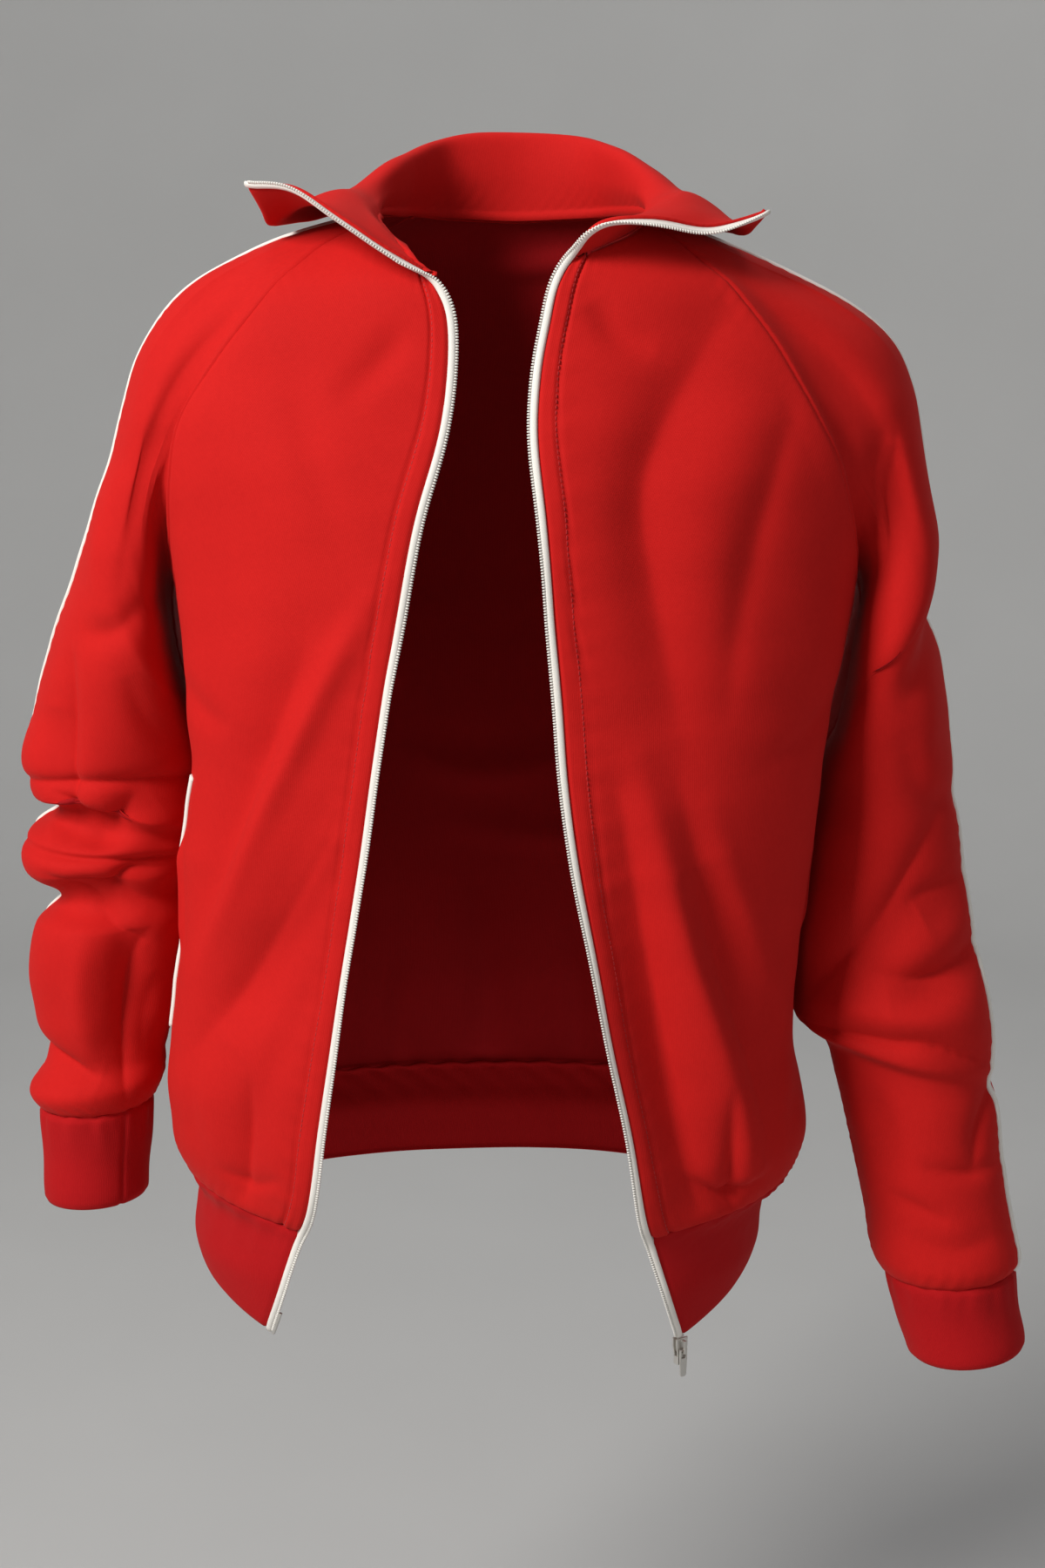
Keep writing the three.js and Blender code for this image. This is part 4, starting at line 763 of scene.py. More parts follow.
class Finish:
    # a material under construction; its space is the place in the object, in metres
    def __init__(self, name):
        self.material = bpy.data.materials.new(name)
        self.material.use_nodes = True
        self.tree = self.material.node_tree
        self.tree.nodes.clear()
        self.space = self.node("ShaderNodeTexCoord", None, None, 3)

    def node(self, kind, settings=None, sockets=None, output=0):
        # any node: its type, its settings, then the values or links of its sockets
        node = self.tree.nodes.new(kind)
        for name, value in (settings or {}).items():
            setattr(node, name, value)
        for name, value in (sockets or {}).items():
            if isinstance(value, Signal):
                self.tree.links.new(value.socket, node.inputs[name])
            else:
                node.inputs[name].default_value = value
        return Signal(self, node.outputs[output])

    def clothMap(self):
        # how far across and down the cloth, in millimetres, from the piece's own map
        spot = self.node("ShaderNodeTexCoord", None, None, 2)
        return [self.node("ShaderNodeSeparateXYZ", None, {0: spot}, axis) for axis in (0, 1)]

    def noise(self, scale, detail=3, place=None, roughness=0.55):
        # uneven patches, a scale's worth of them to the metre
        values = {"Vector": place or self.space, "Scale": scale, "Detail": detail, "Roughness": roughness}
        return self.node("ShaderNodeTexNoise", None, values)

    def bump(self, strength, distance, height):
        # a normal tilted by the slope of a height, whose full rise is the distance in metres
        values = {"Strength": strength, "Distance": distance, "Height": height}
        return self.node("ShaderNodeBump", None, values)

    def colours(self, factor, low, high):
        # low and high mixed by a factor from 0 to 1
        settings = {"data_type": "RGBA"}
        return self.node("ShaderNodeMix", settings, {0: factor, 6: (*low, 1), 7: (*high, 1)}, 2)

    def surface(self, sockets):
        # the finished material, with one shader
        shader = self.node("ShaderNodeBsdfPrincipled", None, sockets)
        outlet = self.tree.nodes.new("ShaderNodeOutputMaterial")
        self.tree.links.new(shader.socket, outlet.inputs["Surface"])
        return self.material


def wave(signal):
    # a sine between 0 and 1
    return signal.maker.node("ShaderNodeMath", {"operation": "SINE"}, {0: signal}) * 0.5 + 0.5


def knit(name, light, dark, rough, wale, depth, sheenTint):
    # fine knit: columns of stitches along the cloth crossed by shorter courses, over slow
    # uneven dye and a faint fuzz; the map is in millimetres along the cloth
    f = Finish(name)
    across, down = f.clothMap()
    columns = wave(across * (2 * np.pi / wale))
    courses = wave(down * (2 * np.pi / (0.7 * wale)) + columns * 2.2)
    fuzz = f.noise(900, 2)
    mottle = f.noise(240)
    slub = f.noise(26)
    cloud = f.noise(7, 2)
    stitch = columns * 0.6 + columns * courses * 0.4
    tone = stitch * 0.3 + fuzz * 0.22 + mottle * 0.26 + slub * 0.22 + cloud * 0.26 - 0.16
    height = stitch * 0.6 + fuzz * 0.3 + mottle * 0.9
    return f.surface(
        {
            "Base Color": f.colours(tone, dark, light),
            "Roughness": rough + slub * 0.12 - stitch * 0.08,
            "Normal": f.bump(0.5, depth, height),
            "Specular IOR Level": 0.05,
            "Sheen Weight": 0.06,
            "Sheen Roughness": 0.45,
            "Sheen Tint": (*sheenTint, 1),
        }
    )


def braid(name, light, dark, pitch):
    # woven trim: the product of waves down it and aslant, a little soiled in patches
    f = Finish(name)
    across, down = f.clothMap()
    rib = wave(down * (2 * np.pi / pitch)) * wave(across * (2 * np.pi / pitch) + down * 3.1)
    soil = f.noise(18)
    fuzz = f.noise(800, 2)
    return f.surface(
        {
            "Base Color": f.colours(rib * 0.35 + soil * 0.5 + fuzz * 0.15, dark, light),
            "Roughness": 0.62 + soil * 0.15,
            "Normal": f.bump(0.45, 0.00025, rib * 0.7 + fuzz * 0.3),
            "Specular IOR Level": 0.35,
            "Sheen Weight": 0.12,
        }
    )


def moulded(name, light, dark, rough, metallic):
    # moulded or cast: small clouds of wear and fine scratches
    f = Finish(name)
    stretched = f.node("ShaderNodeMapping", None, {"Vector": f.space, "Scale": (1, 1, 12)})
    scratch = f.noise(600, 3, stretched)
    wear = f.noise(160)
    return f.surface(
        {
            "Base Color": f.colours(wear * 0.7 + scratch * 0.3, dark, light),
            "Roughness": rough + scratch * 0.14 + wear * 0.08,
            "Metallic": metallic,
            "Normal": f.bump(0.3, 0.0001, scratch * 0.5 + wear * 0.5),
        }
    )


colours = {
    "face": ((0.64, 0.017, 0.014), (0.46, 0.009, 0.009)),
    "inside": ((0.42, 0.012, 0.014), (0.3, 0.006, 0.009)),
    "band": ((0.5, 0.012, 0.013), (0.37, 0.006, 0.009)),
    "white": ((0.92, 0.89, 0.84), (0.8, 0.76, 0.7)),
}
finishes = {
    "knit": knit("red knit", *colours["face"], 0.7, 0.95, 0.00022, (1, 0.35, 0.3)),
    "inside": knit("knit inside", *colours["inside"], 0.8, 0.95, 0.0002, (1, 0.4, 0.4)),
    "band": knit("band knit", *colours["band"], 0.74, 1.15, 0.0003, (1, 0.35, 0.3)),
    "trim": braid("white trim", *colours["white"], 1.0),
    "tape": braid("zip tape", *colours["white"], 0.8),
    "thread": braid("red thread", (0.56, 0.014, 0.014), (0.36, 0.007, 0.009), 0.6),
    "teeth": moulded("white teeth", (0.86, 0.84, 0.8), (0.74, 0.71, 0.65), 0.35, 0),
    "metal": moulded("zip metal", (0.78, 0.76, 0.72), (0.6, 0.58, 0.54), 0.26, 1),
}
print("finishes made")


def meshOf(name, points, faces, uv=None):
    # a smooth mesh of places in millimetres, with the map's value at each corner's place
    mesh = bpy.data.meshes.new(name)
    mesh.from_pydata((points * metresPerMm).tolist(), [], faces)
    if uv is not None:
        corner = np.empty(len(mesh.loops), np.int32)
        mesh.loops.foreach_get("vertex_index", corner)
        layer = mesh.uv_layers.new(name="cloth")
        layer.data.foreach_set("uv", uv[corner].astype(np.float32).ravel())
    mesh.polygons.foreach_set("use_smooth", np.ones(len(mesh.polygons), bool))
    mesh.validate()
    mesh.update()
    return mesh


def gridFaces(rowCount, columnCount, wrapped=False):
    # four corners for each cell of a grid, whose last column meets the first where it is wrapped
    r, c = np.meshgrid(np.arange(rowCount - 1), np.arange(columnCount - (not wrapped)), indexing="ij")
    here, below, after = r * columnCount, (r + 1) * columnCount, (c + 1) % columnCount
    return np.stack([here + c, below + c, below + after, here + after], -1).reshape(-1, 4)


def linked(name, data):
    # a new object in the scene
    made = bpy.data.objects.new(name, data)
    bpy.context.scene.collection.objects.link(made)
    return made


def place(name, mesh, materials, slot, replaced, rides="root"):
    # a finished piece: its materials, the body that it rides, and the solids that it dresses; its slot is not
    # used
    made = linked(name, mesh)
    for material in materials:
        made.data.materials.append(finishes[material])
    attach(made, rides)
    if replaced:
        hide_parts(*replaced)
    return made


def panel(name, points, outward, thickness, materials, slot, replaced, wrapped=False):
    # a shell: the grid is its outer face, and the wall grows inwards from it
    faces = gridFaces(*points.shape[:2], wrapped)
    corner = points.reshape(-1, 3)[faces]
    facing = np.cross(corner[:, 1] - corner[:, 0], corner[:, 3] - corner[:, 0])
    if (facing * outward.reshape(-1, 3)[faces[:, 0]]).sum() < 0:
        faces = faces[:, ::-1]
    away = fromEdges(points)
    uv = np.stack([away["first"] - away["first"][:, -1:] / 2, away["top"]], -1).reshape(-1, 2)
    made = place(name, meshOf(name, points.reshape(-1, 3), faces.tolist(), uv), materials, slot, replaced)
    shell = made.modifiers.new("wall", "SOLIDIFY")
    shell.thickness = thickness * metresPerMm
    shell.offset = -1
    shell.material_offset = len(materials) - 1
    shell.material_offset_rim = 0
    shell.use_quality_normals = True
    area = np.linalg.norm(facing, axis=-1).sum() / 1e6
    size = away["first"][:, -1].max(), away["top"][-1].max()
    print(f"{name}: {len(faces)} faces, {size[0]:.0f} by {size[1]:.0f} mm, {area:.4f} square metres")
    return made


def resampled(values, distances, at):
    # each column of a path's values at even distances along it
    return np.stack([np.interp(at, distances, values[:, k]) for k in range(3)], -1)


def eased(values, window):
    # a running mean with its ends held
    held = np.concatenate([values[:1].repeat(window, 0), values, values[-1:].repeat(window, 0)])
    total = np.cumsum(np.concatenate([np.zeros((1, 3)), held]), 0)
    width = 2 * window + 1
    return (total[width:] - total[:-width]) / width


def path(points, across, outward, pitch, easing=0):
    # evenly spaced places along a run, each with its directions across and outwards
    distances = np.concatenate([[0], np.linalg.norm(np.diff(points, axis=0), axis=-1).cumsum()])
    at = np.linspace(0, distances[-1], int(distances[-1] / pitch) + 1)
    run, side, out = (resampled(v, distances, at) for v in (points, across, outward))
    if easing:
        side, out = eased(unit(side), easing), eased(unit(out), easing)
        run[1:-1] = eased(run, easing // 3)[1:-1]
    along = unit(np.gradient(run, axis=0))
    out = unit(out - (out * along).sum(-1, keepdims=True) * along)
    side = np.cross(along, out) * np.sign((np.cross(along, out) * side).sum())
    return {"run": run, "across": unit(side), "outward": out, "along": along, "at": at}


def carry(name, line, profile, material, slot, replaced):
    # a closed profile of places across and outwards, carried along a path, with flat ends
    shape = np.array(profile, float)
    across, outward = line["across"][:, None], line["outward"][:, None]
    points = line["run"][:, None] + across * shape[:, :1] + outward * shape[:, 1:]
    count = len(shape)
    faces = gridFaces(len(points), count, True).tolist()
    last = len(points) * count - 1
    faces += [list(range(count)), list(range(last, last - count, -1))]
    girth = np.linalg.norm(np.diff(shape, axis=0, prepend=shape[:1]), axis=-1).cumsum()
    uv = np.stack(np.broadcast_arrays(girth[None], line["at"][:, None]), -1).reshape(-1, 2)
    mesh = meshOf(name, points.reshape(-1, 3), faces, uv)
    turnOutwards(mesh)
    return place(name, mesh, [material], slot, replaced)


def turnOutwards(mesh):
    # a closed mesh whose signed volume is negative has its faces turned
    mesh.calc_loop_triangles()
    corner = np.array([t.vertices[:] for t in mesh.loop_triangles])
    co = np.empty(len(mesh.vertices) * 3)
    mesh.vertices.foreach_get("co", co)
    a, b, c = np.moveaxis(co.reshape(-1, 3)[corner], 1, 0)
    if (a * np.cross(b, c)).sum() < 0:
        mesh.flip_normals()


def repeated(name, shape, shapeFaces, line, places, material, slot, replaced):
    # one small shape (across, along, outwards) set down at many places of a path
    get = {key: resampled(line[key], line["at"], places) for key in ("run", "across", "along", "outward")}
    shape = np.array(shape, float)
    points = get["run"][:, None]
    for k, key in enumerate(("across", "along", "outward")):
        points = points + unit(get[key])[:, None] * shape[:, k : k + 1]
    count = len(shape)
    shift = count * np.arange(len(places))[:, None, None]
    faces = (np.array(shapeFaces)[None] + shift).reshape(-1, len(shapeFaces[0]))
    mesh = meshOf(name, points.reshape(-1, 3), faces.tolist())
    turnOutwards(mesh)
    return place(name, mesh, [material], slot, replaced)


def pill(length, width, height, around=6):
    # a closed low grain, longest along the path: two rings between two flat ends
    turns = 2 * np.pi * np.arange(around) / around
    rings = [(-0.5, 0.35), (-0.3, 1), (0.3, 1), (0.5, 0.35)]
    shape = [
        (width / 2 * r * np.cos(a), length * y, height * (0.5 + 0.5 * r * np.sin(a)) - height * 0.35)
        for y, r in rings
        for a in turns
    ]
    faces = gridFaces(len(rings), around, True).tolist()
    last = around * (len(rings) - 1)
    for k in range(1, around // 2):
        faces.append([k - 1, k, around - k - 1, around - k])
        faces.append([last + around - k, last + around - k - 1, last + k, last + k - 1])
    return shape, faces


def sampled(points, rows, columns, rowsAt, columnsAt):
    # straight mixing between the four nearest points of a grid
    i = np.interp(rowsAt, rows, np.arange(len(rows)))
    j = np.interp(columnsAt, columns, np.arange(len(columns)))
    a = np.minimum(i.astype(int), len(rows) - 2)
    b = np.minimum(j.astype(int), len(columns) - 2)
    s, t = (i - a)[:, None], (j - b)[:, None]
    upper = mix(points[a, b], points[a, b + 1], t)
    return mix(upper, mix(points[a + 1, b], points[a + 1, b + 1], t), s)


pocket = {
    "rows": (13, 20),
    "columns": {
        "right": [8.8, 9.35, 9.65, 9.65, 9.65, 9.65, 9.65, 9.85],
        "left": [11.2, 11.4, 11.6, 11.6, 11.6, 11.6, 11.6, 11.7],
    },
    "lip": {"rise": 3.9, "ahead": 4.6, "width": 3.6, "from": 2, "to": 4.6},
    "sink": 0.6,
    "places": 60,
    "beside": 0.2,
    "profile": [(-2.7, -0.6), (-2.7, 0.8), (-1.6, 1.7), (0, 2), (1.6, 1.7), (2.7, 0.8), (2.7, -0.6)],
}


def pocketLap(rowsAt):
    # how much of the piping the cloth's edge laps, 1 over the middle of the pocket
    lip = pocket["lip"]
    at = rowsAt - pocket["rows"][0]
    return smooth(-0.6, 0.4, at - lip["from"]) * smooth(-0.5, 0.5, lip["to"] - at)


def pocketColumns(side, rowsAt):
    # a cubic through the front's columns where the slit runs, row by row
    at = np.clip(rowsAt - pocket["rows"][0], 0, pocket["rows"][1] - pocket["rows"][0])
    return spline(np.array(pocket["columns"][side]), at)


# the fronts, with the turned facing between each zip edge and its line of topstitching
front = {
    "thickness": 1.7,
    "perSpan": 8,
    "creases": 1.9,  # how many times the depths in the table
    "settle": (2, 16),
    "stitchAt": 12.5,
    "stitchDip": 1.3,
    "stitchWidth": 1.3,
    "facingRise": 0.8,
    "edgeRoll": 1.2,
    "edgeWidth": 1.1,
    "draw": {"height": 0.22, "pitch": 17, "at": 16, "width": 9},
}
draw, lip = front["draw"], pocket["lip"]
rowAt = spread(bodyRows, front["perSpan"])
frontColumns = spread(steps["front"], front["perSpan"])
fronts = {}
for side in signOf:
    points, fade = frontBase(side, rowAt, frontColumns)
    x, z = points[..., 0], points[..., 2]
    edge = fromEdges(points)
    settle = np.minimum(fade, smooth(*front["settle"], edge["first"]) * 0.8 + 0.2)
    depth = fade * foldDepth(frontFolds[side], x, z)
    depth += front["creases"] * settle * foldDepth(frontCreases[side], x, z)
    lift = ripple(points) * settle - depth
    line = edge["first"] - front["stitchAt"]
    lift -= front["stitchDip"] * bell(line, front["stitchWidth"])
    lift += front["facingRise"] * smooth(0, 3, edge["first"]) * smooth(0, 2.5, -line)
    lift -= front["edgeRoll"] * bell(edge["first"], front["edgeWidth"])
    draws = np.sin(2 * np.pi * edge["top"] / draw["pitch"] + 2 * np.sin(edge["top"] / 41))
    lift += draw["height"] * draws * bell(edge["first"] - draw["at"], draw["width"])
    slit = sampled(edge["first"][..., None], rowAt, frontColumns, rowAt, pocketColumns(side, rowAt))
    beside = bell(slit - edge["first"] - lip["ahead"], lip["width"])
    lift += lip["rise"] * beside * pocketLap(rowAt)[:, None]
    points = points + bodyOut(points) * lift[..., None]
    points = seamed(points, bodyOut(points), ["top", "last", "bottom"])
    fronts[side] = blunted(points, (0, 0), (0, 20))
print("fronts shaped")

points, fade = backBase(rowAt, spread(steps["back"], front["perSpan"]))
x, z = points[..., 0], points[..., 2]
lift = ripple(points) - foldDepth(backFolds, x, z) - front["creases"] * foldDepth(backCreases, x, z)
lift *= fade
points = points + bodyOut(points) * lift[..., None]
back = seamed(points, bodyOut(points), ["top", "first", "last", "bottom"])
print("back shaped")

sleeve = {
    "thickness": 1.7,
    "perSpan": 8,
    "creases": {"right": 2.2, "left": 2.1},
    "eased": {"right": 0, "left": 26},  # passes over the rows below the yoke
}
sleeveRows = spread(steps["yoke"] + steps["arm"], sleeve["perSpan"])
halfColumns = spread(halfRound, sleeve["perSpan"])
sleeveColumns = np.concatenate([halfColumns, halfRound + halfColumns[1:]])
topSeam = len(halfColumns) - 1
sleeves = {side: sleeveSurface(side, sleeveRows, sleeveColumns) for side in signOf}
print("sleeves shaped")

turned = {"dip": 1.4, "width": 1.5}
collar = {"thickness": 2.6, "dip": 1.5, "width": 1.4, "rows": 50, "columns": 250, "lap": 3.4, "ripple": 0.8}


def collarOut(points):
    # the face away from the neck at the seam
    return unit(np.cross(np.gradient(points, axis=0), np.gradient(points, axis=1)))


def rounded(points, outward, borders, roll):
    # a turned edge: the face rolls down over its last millimetres
    away = fromEdges(points)
    lift = sum(-roll["dip"] * bell(away[border], roll["width"]) for border in borders)
    return points + outward * lift[..., None]


collarRows = np.sort(np.append(np.linspace(0, 4, collar["rows"]), [0.04, 3.97]))
collarColumns = np.sort(np.append(np.linspace(0, 16, collar["columns"]), [0.02, 15.98]))
points = collarSurface(collarRows, collarColumns)
points = points + collarOut(points) * (collar["ripple"] * ripple(1.4 * points))[..., None]
points = seamed(points, collarOut(points), ["top"], collar["lap"])
points = rounded(points, collarOut(points), ["first", "last", "bottom"], collar)
collarPoints = blunted(blunted(points, (0, 0), (0, 10)), (0, -1), (0, -11))

band = {
    "thickness": 2.6,
    "rows": 26,
    "columns": 300,
    "gather": 0.5,
    "gatherPitch": 23,
    "gatherFall": 26,
    "ripple": 0.7,
}
bandRows = np.sort(np.append(np.linspace(0, 1, band["rows"]), [0.012, 0.988]))
bandColumns = np.sort(np.append(np.linspace(0, 30, band["columns"]), [0.03, 29.97]))
points = bandSurface(bandRows, bandColumns)
edge = fromEdges(points)
gathers = np.sin(2 * np.pi * edge["first"] / band["gatherPitch"] + 1.5 * np.sin(edge["first"] / 60))
fall = bell(edge["top"], band["gatherFall"]) * smooth(0, 25, edge["first"]) * smooth(0, 25, edge["last"])
lift = band["gather"] * gathers * fall + band["ripple"] * ripple(points)
points = points + bodyOut(points) * lift[..., None]
points = seamed(points, bodyOut(points), ["top"])
bandPoints = rounded(points, bodyOut(points), ["first", "last", "bottom"], turned)

cuff = {
    "thickness": 2.6,
    "rows": 26,
    "columns": 132,
    "gather": 0.55,
    "gathers": 15,
    "gatherFall": 20,
    "roll": 0.5,
    "ripple": 0.6,
    "seamAngle": {"right": 128, "left": 205},
    "seamDip": 1.3,
    "seamWidth": 1.3,
    "mmPerDegree": 0.62,
}
cuffs = {}
for side in signOf:
    ring = np.sort(np.append(np.linspace(0, 3, cuff["rows"]), [0.03, 2.97]))
    angle = 360 * np.arange(cuff["columns"]) / cuff["columns"]
    points = ringPoint(cuffSections[side], ring[:, None], angle[None])
    middle = points.mean(1, keepdims=True)
    edge = fromEdges(points)
    turns = np.radians(angle)[None]
    gathers = np.sin(cuff["gathers"] * turns + 2 * np.sin(turns * 2)) * bell(edge["top"], cuff["gatherFall"])
    roll = cuff["roll"] * np.sin(edge["top"] / 8 + 1.6 * np.sin(turns + 1)) * smooth(0, 10, edge["bottom"])
    lift = cuff["gather"] * gathers + roll + cuff["ripple"] * ripple(points)
    lift -= cuff["seamDip"] * bell((angle - cuff["seamAngle"][side]) * cuff["mmPerDegree"], cuff["seamWidth"])
    points = points + outwardOf(points, middle, True) * lift[..., None]
    points = seamed(points, outwardOf(points, middle, True), ["top"])
    points = rounded(points, outwardOf(points, middle, True), ["bottom"], turned)
    cuffs[side] = points, middle
print("collar, band and cuffs shaped")


for side in signOf:
    title = side.capitalize()
    panel(
        f"front{title}", fronts[side], bodyOut(fronts[side]), front["thickness"],
        ["knit", "inside"], "red_knit", [f"front_{side}"],
    )
    points, middle = sleeves[side]
    for part, picked in (("back", slice(0, topSeam + 1)), ("front", slice(topSeam, None))):
        half = points[:, picked]
        half = seamed(half, outwardOf(half, middle), ["top", "first", "last", "bottom"])
        panel(
            f"sleeve{title}{part.capitalize()}", half, outwardOf(half, middle), sleeve["thickness"],
            ["knit", "inside"], "red_knit", [f"sleeve_{side}_{part}"],
        )
    points, middle = cuffs[side]
    panel(
        f"cuff{title}", points, outwardOf(points, middle, True), cuff["thickness"],
        ["band"], "band_knit", [f"cuff_{side}"], True,
    )
panel(
    "backPanel", back, bodyOut(back), front["thickness"],
    ["knit", "inside"], "red_knit", ["back"],
)
panel(
    "collarFold", collarPoints, collarOut(collarPoints), collar["thickness"],
    ["knit"], "red_knit", ["collar"],
)
panel(
    "waistBand", bandPoints, bodyOut(bandPoints), band["thickness"],
    ["band"], "band_knit", ["waistband"],
)

print("cloth placed")

# the zip tape and its teeth, up each front, past the neck seam and round the collar's end
zipLook = {
    "pitch": 1.7,
    "clear": 4.5,
    "rise": 1.0,
    "teethAt": 4.9,
    "teethSink": 0.5,
    "teethStart": 4,
    "teethStop": 2,
    "tooth": (1.2, 2.3, 1.7),
    "profile": [(-1.4, -1.8), (0, -0.7), (0.3, 0.7), (0.9, 1.15), (2, 1.25), (3.1, 1.1), (3.9, 0.6),
                (4.3, 0), (4.3, -0.9), (3, -1.3)],
}
for side in signOf:
    title = side.capitalize()
    end = -1 if side == "left" else 0
    inner = -7 if side == "left" else 6
    parts = []
    for points, out, backwards in (
        (collarPoints, collarOut(collarPoints), True),
        (fronts[side], bodyOut(fronts[side]), False),
        (bandPoints, bodyOut(bandPoints), False),
    ):
        first, inside = (0, 6) if points is fronts[side] else (end, inner)
        away = fromEdges(points)
        above, below = away["top"][:, first], away["bottom"][:, first]
        clear = (above > zipLook["clear"]) & (below > 0.1 * zipLook["clear"])
        order = np.flatnonzero(clear)[:: -1 if backwards else 1]
        edge = points[order, first]
        parts.append((edge, unit(edge - points[order, inside]), out[order, inside]))
    run, across, out = (np.concatenate(part) for part in zip(*parts))
    line = path(run + zipLook["rise"] * out, across, out, pitch=2.4, easing=9)
    carry(f"zipTape{title}", line, zipLook["profile"], "tape", "white_trim", [f"zip_tape_{side}"])
    length, width, height = zipLook["tooth"]
    shape, faces = pill(length, width, height)
    shape = [(x + zipLook["teethAt"], y, z - zipLook["teethSink"]) for x, y, z in shape]
    at = np.arange(zipLook["teethStart"], line["at"][-1] - zipLook["teethStop"], zipLook["pitch"])
    repeated(f"zipTeeth{title}", shape, faces, line, at, "teeth", "white_trim", [])
print("zip made")


def alongEdge(points, distance):
    # the places at one distance from the first border, row by row
    away = fromEdges(points)["first"]
    k = (away < distance).sum(1)[:, None]
    before, after = (np.take_along_axis(away, i, 1) for i in (k - 1, k))
    t = ((distance - before) / (after - before))[..., None]
    start, end = (np.take_along_axis(points, i[..., None].repeat(3, -1), 1) for i in (k - 1, k))
    return mix(start, end, t)[:, 0]


stitch = {"length": 2.5, "width": 0.8, "height": 0.6, "pitch": 3.3, "start": 3, "beside": 4}
for side in signOf:
    run = alongEdge(fronts[side], front["stitchAt"])
    near = alongEdge(fronts[side], front["stitchAt"] - stitch["beside"])
    far = alongEdge(fronts[side], front["stitchAt"] + stitch["beside"])
    across = unit(far - near)
    out = unit(np.cross(across, np.gradient(run, axis=0)))
    out = out * np.sign((out * (run * (1, 1, 0))).sum())
    line = path(run, across, out, pitch=2, easing=2)
    shape, faces = pill(stitch["length"], stitch["width"], stitch["height"])
    at = np.arange(stitch["start"], line["at"][-1] - stitch["start"], stitch["pitch"])
    repeated(f"topstitch{side.capitalize()}", shape, faces, line, at, "thread", "red_knit", [])

# the stripe of piping down each sleeve's top seam
piping = {
    "start": 0.1,
    "end": 33.95,
    "profile": [(-3.2, -1.4), (-3.2, 0.5), (-2.5, 1.2), (-1.2, 1.6), (0, 1.7), (1.2, 1.6),
                (2.5, 1.2), (3.2, 0.5), (3.2, -1.4)],
}
for side in signOf:
    points, middle = sleeves[side]
    keep = (sleeveRows >= piping["start"]) & (sleeveRows <= piping["end"])
    across = unit(np.gradient(points, axis=1)[keep, topSeam])
    out = outwardOf(points, middle)[keep, topSeam]
    line = path(points[keep, topSeam], across, out, pitch=2.2, easing=1)
    title = side.capitalize()
    carry(f"piping{title}", line, piping["profile"], "trim", "white_trim", [f"piping_{side}"])

# the white edge of each pocket slit
for side in signOf:
    rowsAt = np.linspace(*pocket["rows"], pocket["places"])
    columnsAt = pocketColumns(side, rowsAt)
    run = sampled(fronts[side], rowAt, frontColumns, rowsAt, columnsAt)
    beside = sampled(fronts[side], rowAt, frontColumns, rowsAt, columnsAt + pocket["beside"])
    out = sampled(bodyOut(fronts[side]), rowAt, frontColumns, rowsAt, columnsAt)
    run = run - pocket["sink"] * pocketLap(rowsAt)[:, None] * unit(out)
    line = path(run, unit(beside - run), unit(out), pitch=2.2, easing=2)
    title = side.capitalize()
    carry(f"pocketWelt{title}", line, pocket["profile"], "trim", "white_trim", [f"pocket_welt_{side}"])
print("trims made")


def machined(name, node, rounding, rides):
    # the solid's own mesh, joined up, with its edges eased
    mesh = nodes[node].data.copy()
    mesh.name = name
    mesh.materials.clear()
    work = bmesh.new()
    work.from_mesh(mesh)
    bmesh.ops.remove_doubles(work, verts=work.verts, dist=1e-6)
    bmesh.ops.dissolve_limit(work, angle_limit=0.02, verts=work.verts, edges=work.edges)
    work.to_mesh(mesh)
    work.free()
    part = place(name, mesh, ["metal"], "zip_metal", [node], rides)
    ease = part.modifiers.new("ease", "BEVEL")
    ease.width = rounding * metresPerMm
    ease.segments = 2
    ease.limit_method = "ANGLE"
    return part


machined("slider", "zip_slider", 0.22, "root")
machined("pullTab", "zip_pull", 0.25, "pull")
machined("retainingBox", "zip_box", 0.5, "root")
machined("insertPin", "zip_pin", 0.4, "root")
print("zip hardware made")

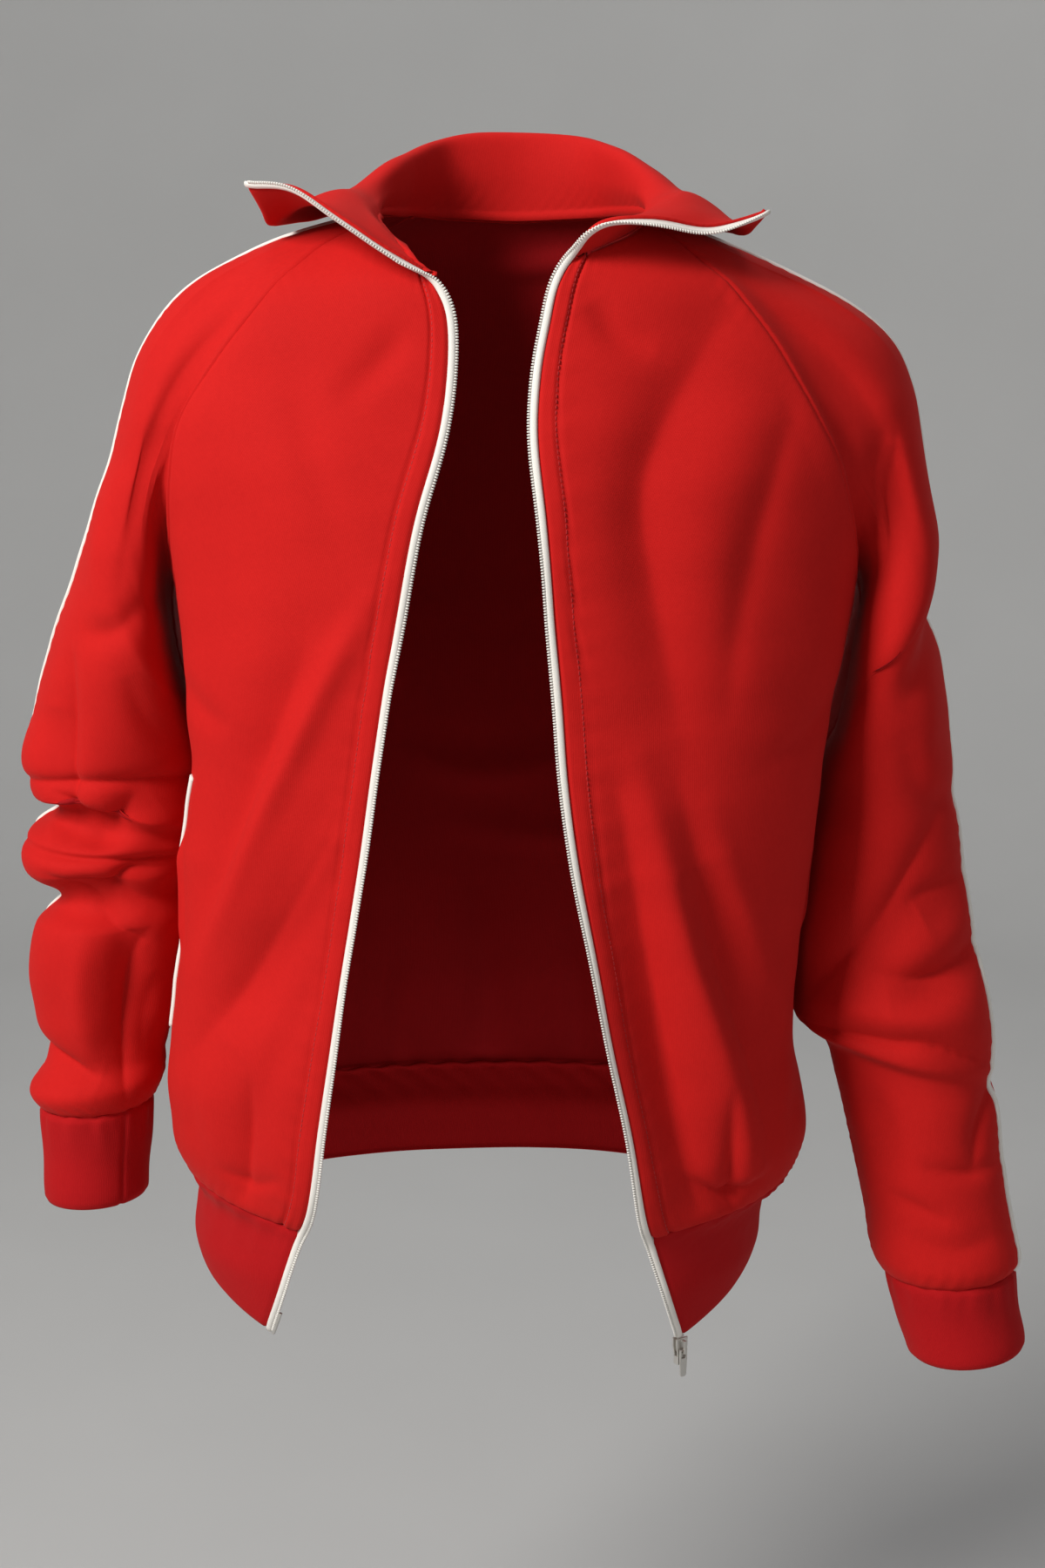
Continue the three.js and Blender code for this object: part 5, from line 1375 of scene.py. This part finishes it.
# a pale floor that rises all round into a wall
stage = {"floor": -1150, "radius": 3600, "bend": 1100, "height": 2600, "around": 96}
bow = np.linspace(0, np.pi / 2, 20)
reach = np.concatenate([[1, 1200], stage["radius"] - stage["bend"] * (1 - np.sin(bow)), [stage["radius"]]])
level = np.concatenate([[0, 0], stage["bend"] * (1 - np.cos(bow)), [stage["height"]]]) + stage["floor"]
bearing = 2 * np.pi * np.arange(stage["around"]) / stage["around"]
bowl = point(reach[:, None] * np.cos(bearing), reach[:, None] * np.sin(bearing), level[:, None])
bowlFaces = gridFaces(len(reach), stage["around"], True)
paper = Finish("paper")
shade = paper.colours(paper.noise(3, 2), (0.48, 0.48, 0.475), (0.52, 0.52, 0.515))
backdrop = linked("backdrop", meshOf("backdrop", bowl.reshape(-1, 3), bowlFaces[:, ::-1].tolist()))
backdrop.data.materials.append(paper.surface({"Base Color": shade, "Roughness": 0.9}))


def softbox(name, spot, target, size, power, colour):
    # a rectangle of light whose face looks at its target
    lamp = bpy.data.lights.new(name, "AREA")
    lamp.shape = "RECTANGLE"
    lamp.size, lamp.size_y = size
    lamp.energy = power
    lamp.color = colour
    holder = linked(name, lamp)
    holder.location = spot
    holder.rotation_euler = (Vector(target) - Vector(spot)).to_track_quat("-Z", "Y").to_euler()


lights = {
    "key": ((-1.85, -1.6, 1.45), (0, 0, -0.4), (0.9, 1.2), 98, (1, 0.98, 0.95)),
    "fill": ((2.2, -1.8, 0.4), (0, 0, -0.4), (1.6, 1.8), 7, (0.95, 0.97, 1)),
    "top": ((0.1, 0.6, 2.0), (0, 0, -0.2), (1.6, 1.2), 12, (1, 1, 1)),
    "behind": ((0.6, 1.6, 1.5), (0.2, 3.2, -0.4), (2.4, 0.8), 12, (1, 1, 1)),
}
for name, values in lights.items():
    softbox(name, *values)
world = bpy.data.worlds.new("studio")
world.use_nodes = True
world.node_tree.nodes["Background"].inputs["Color"].default_value = (0.9, 0.92, 0.95, 1)
world.node_tree.nodes["Background"].inputs["Strength"].default_value = 0.16
bpy.context.scene.world = world

view = {"x": 0.0054, "y": -1.55, "z": 0.0, "pitch": 12.13, "lens": 55.8, "sensor": 36}
camera = bpy.data.cameras.new("camera")
camera.lens = view["lens"]
camera.sensor_width = view["sensor"]
camera.clip_end = 20
holder = linked("camera", camera)
holder.location = (view["x"], view["y"], view["z"])
holder.rotation_euler = (np.radians(90 - view["pitch"]), 0, 0)
bpy.context.scene.camera = holder
bpy.context.scene.view_settings.view_transform = "Standard"
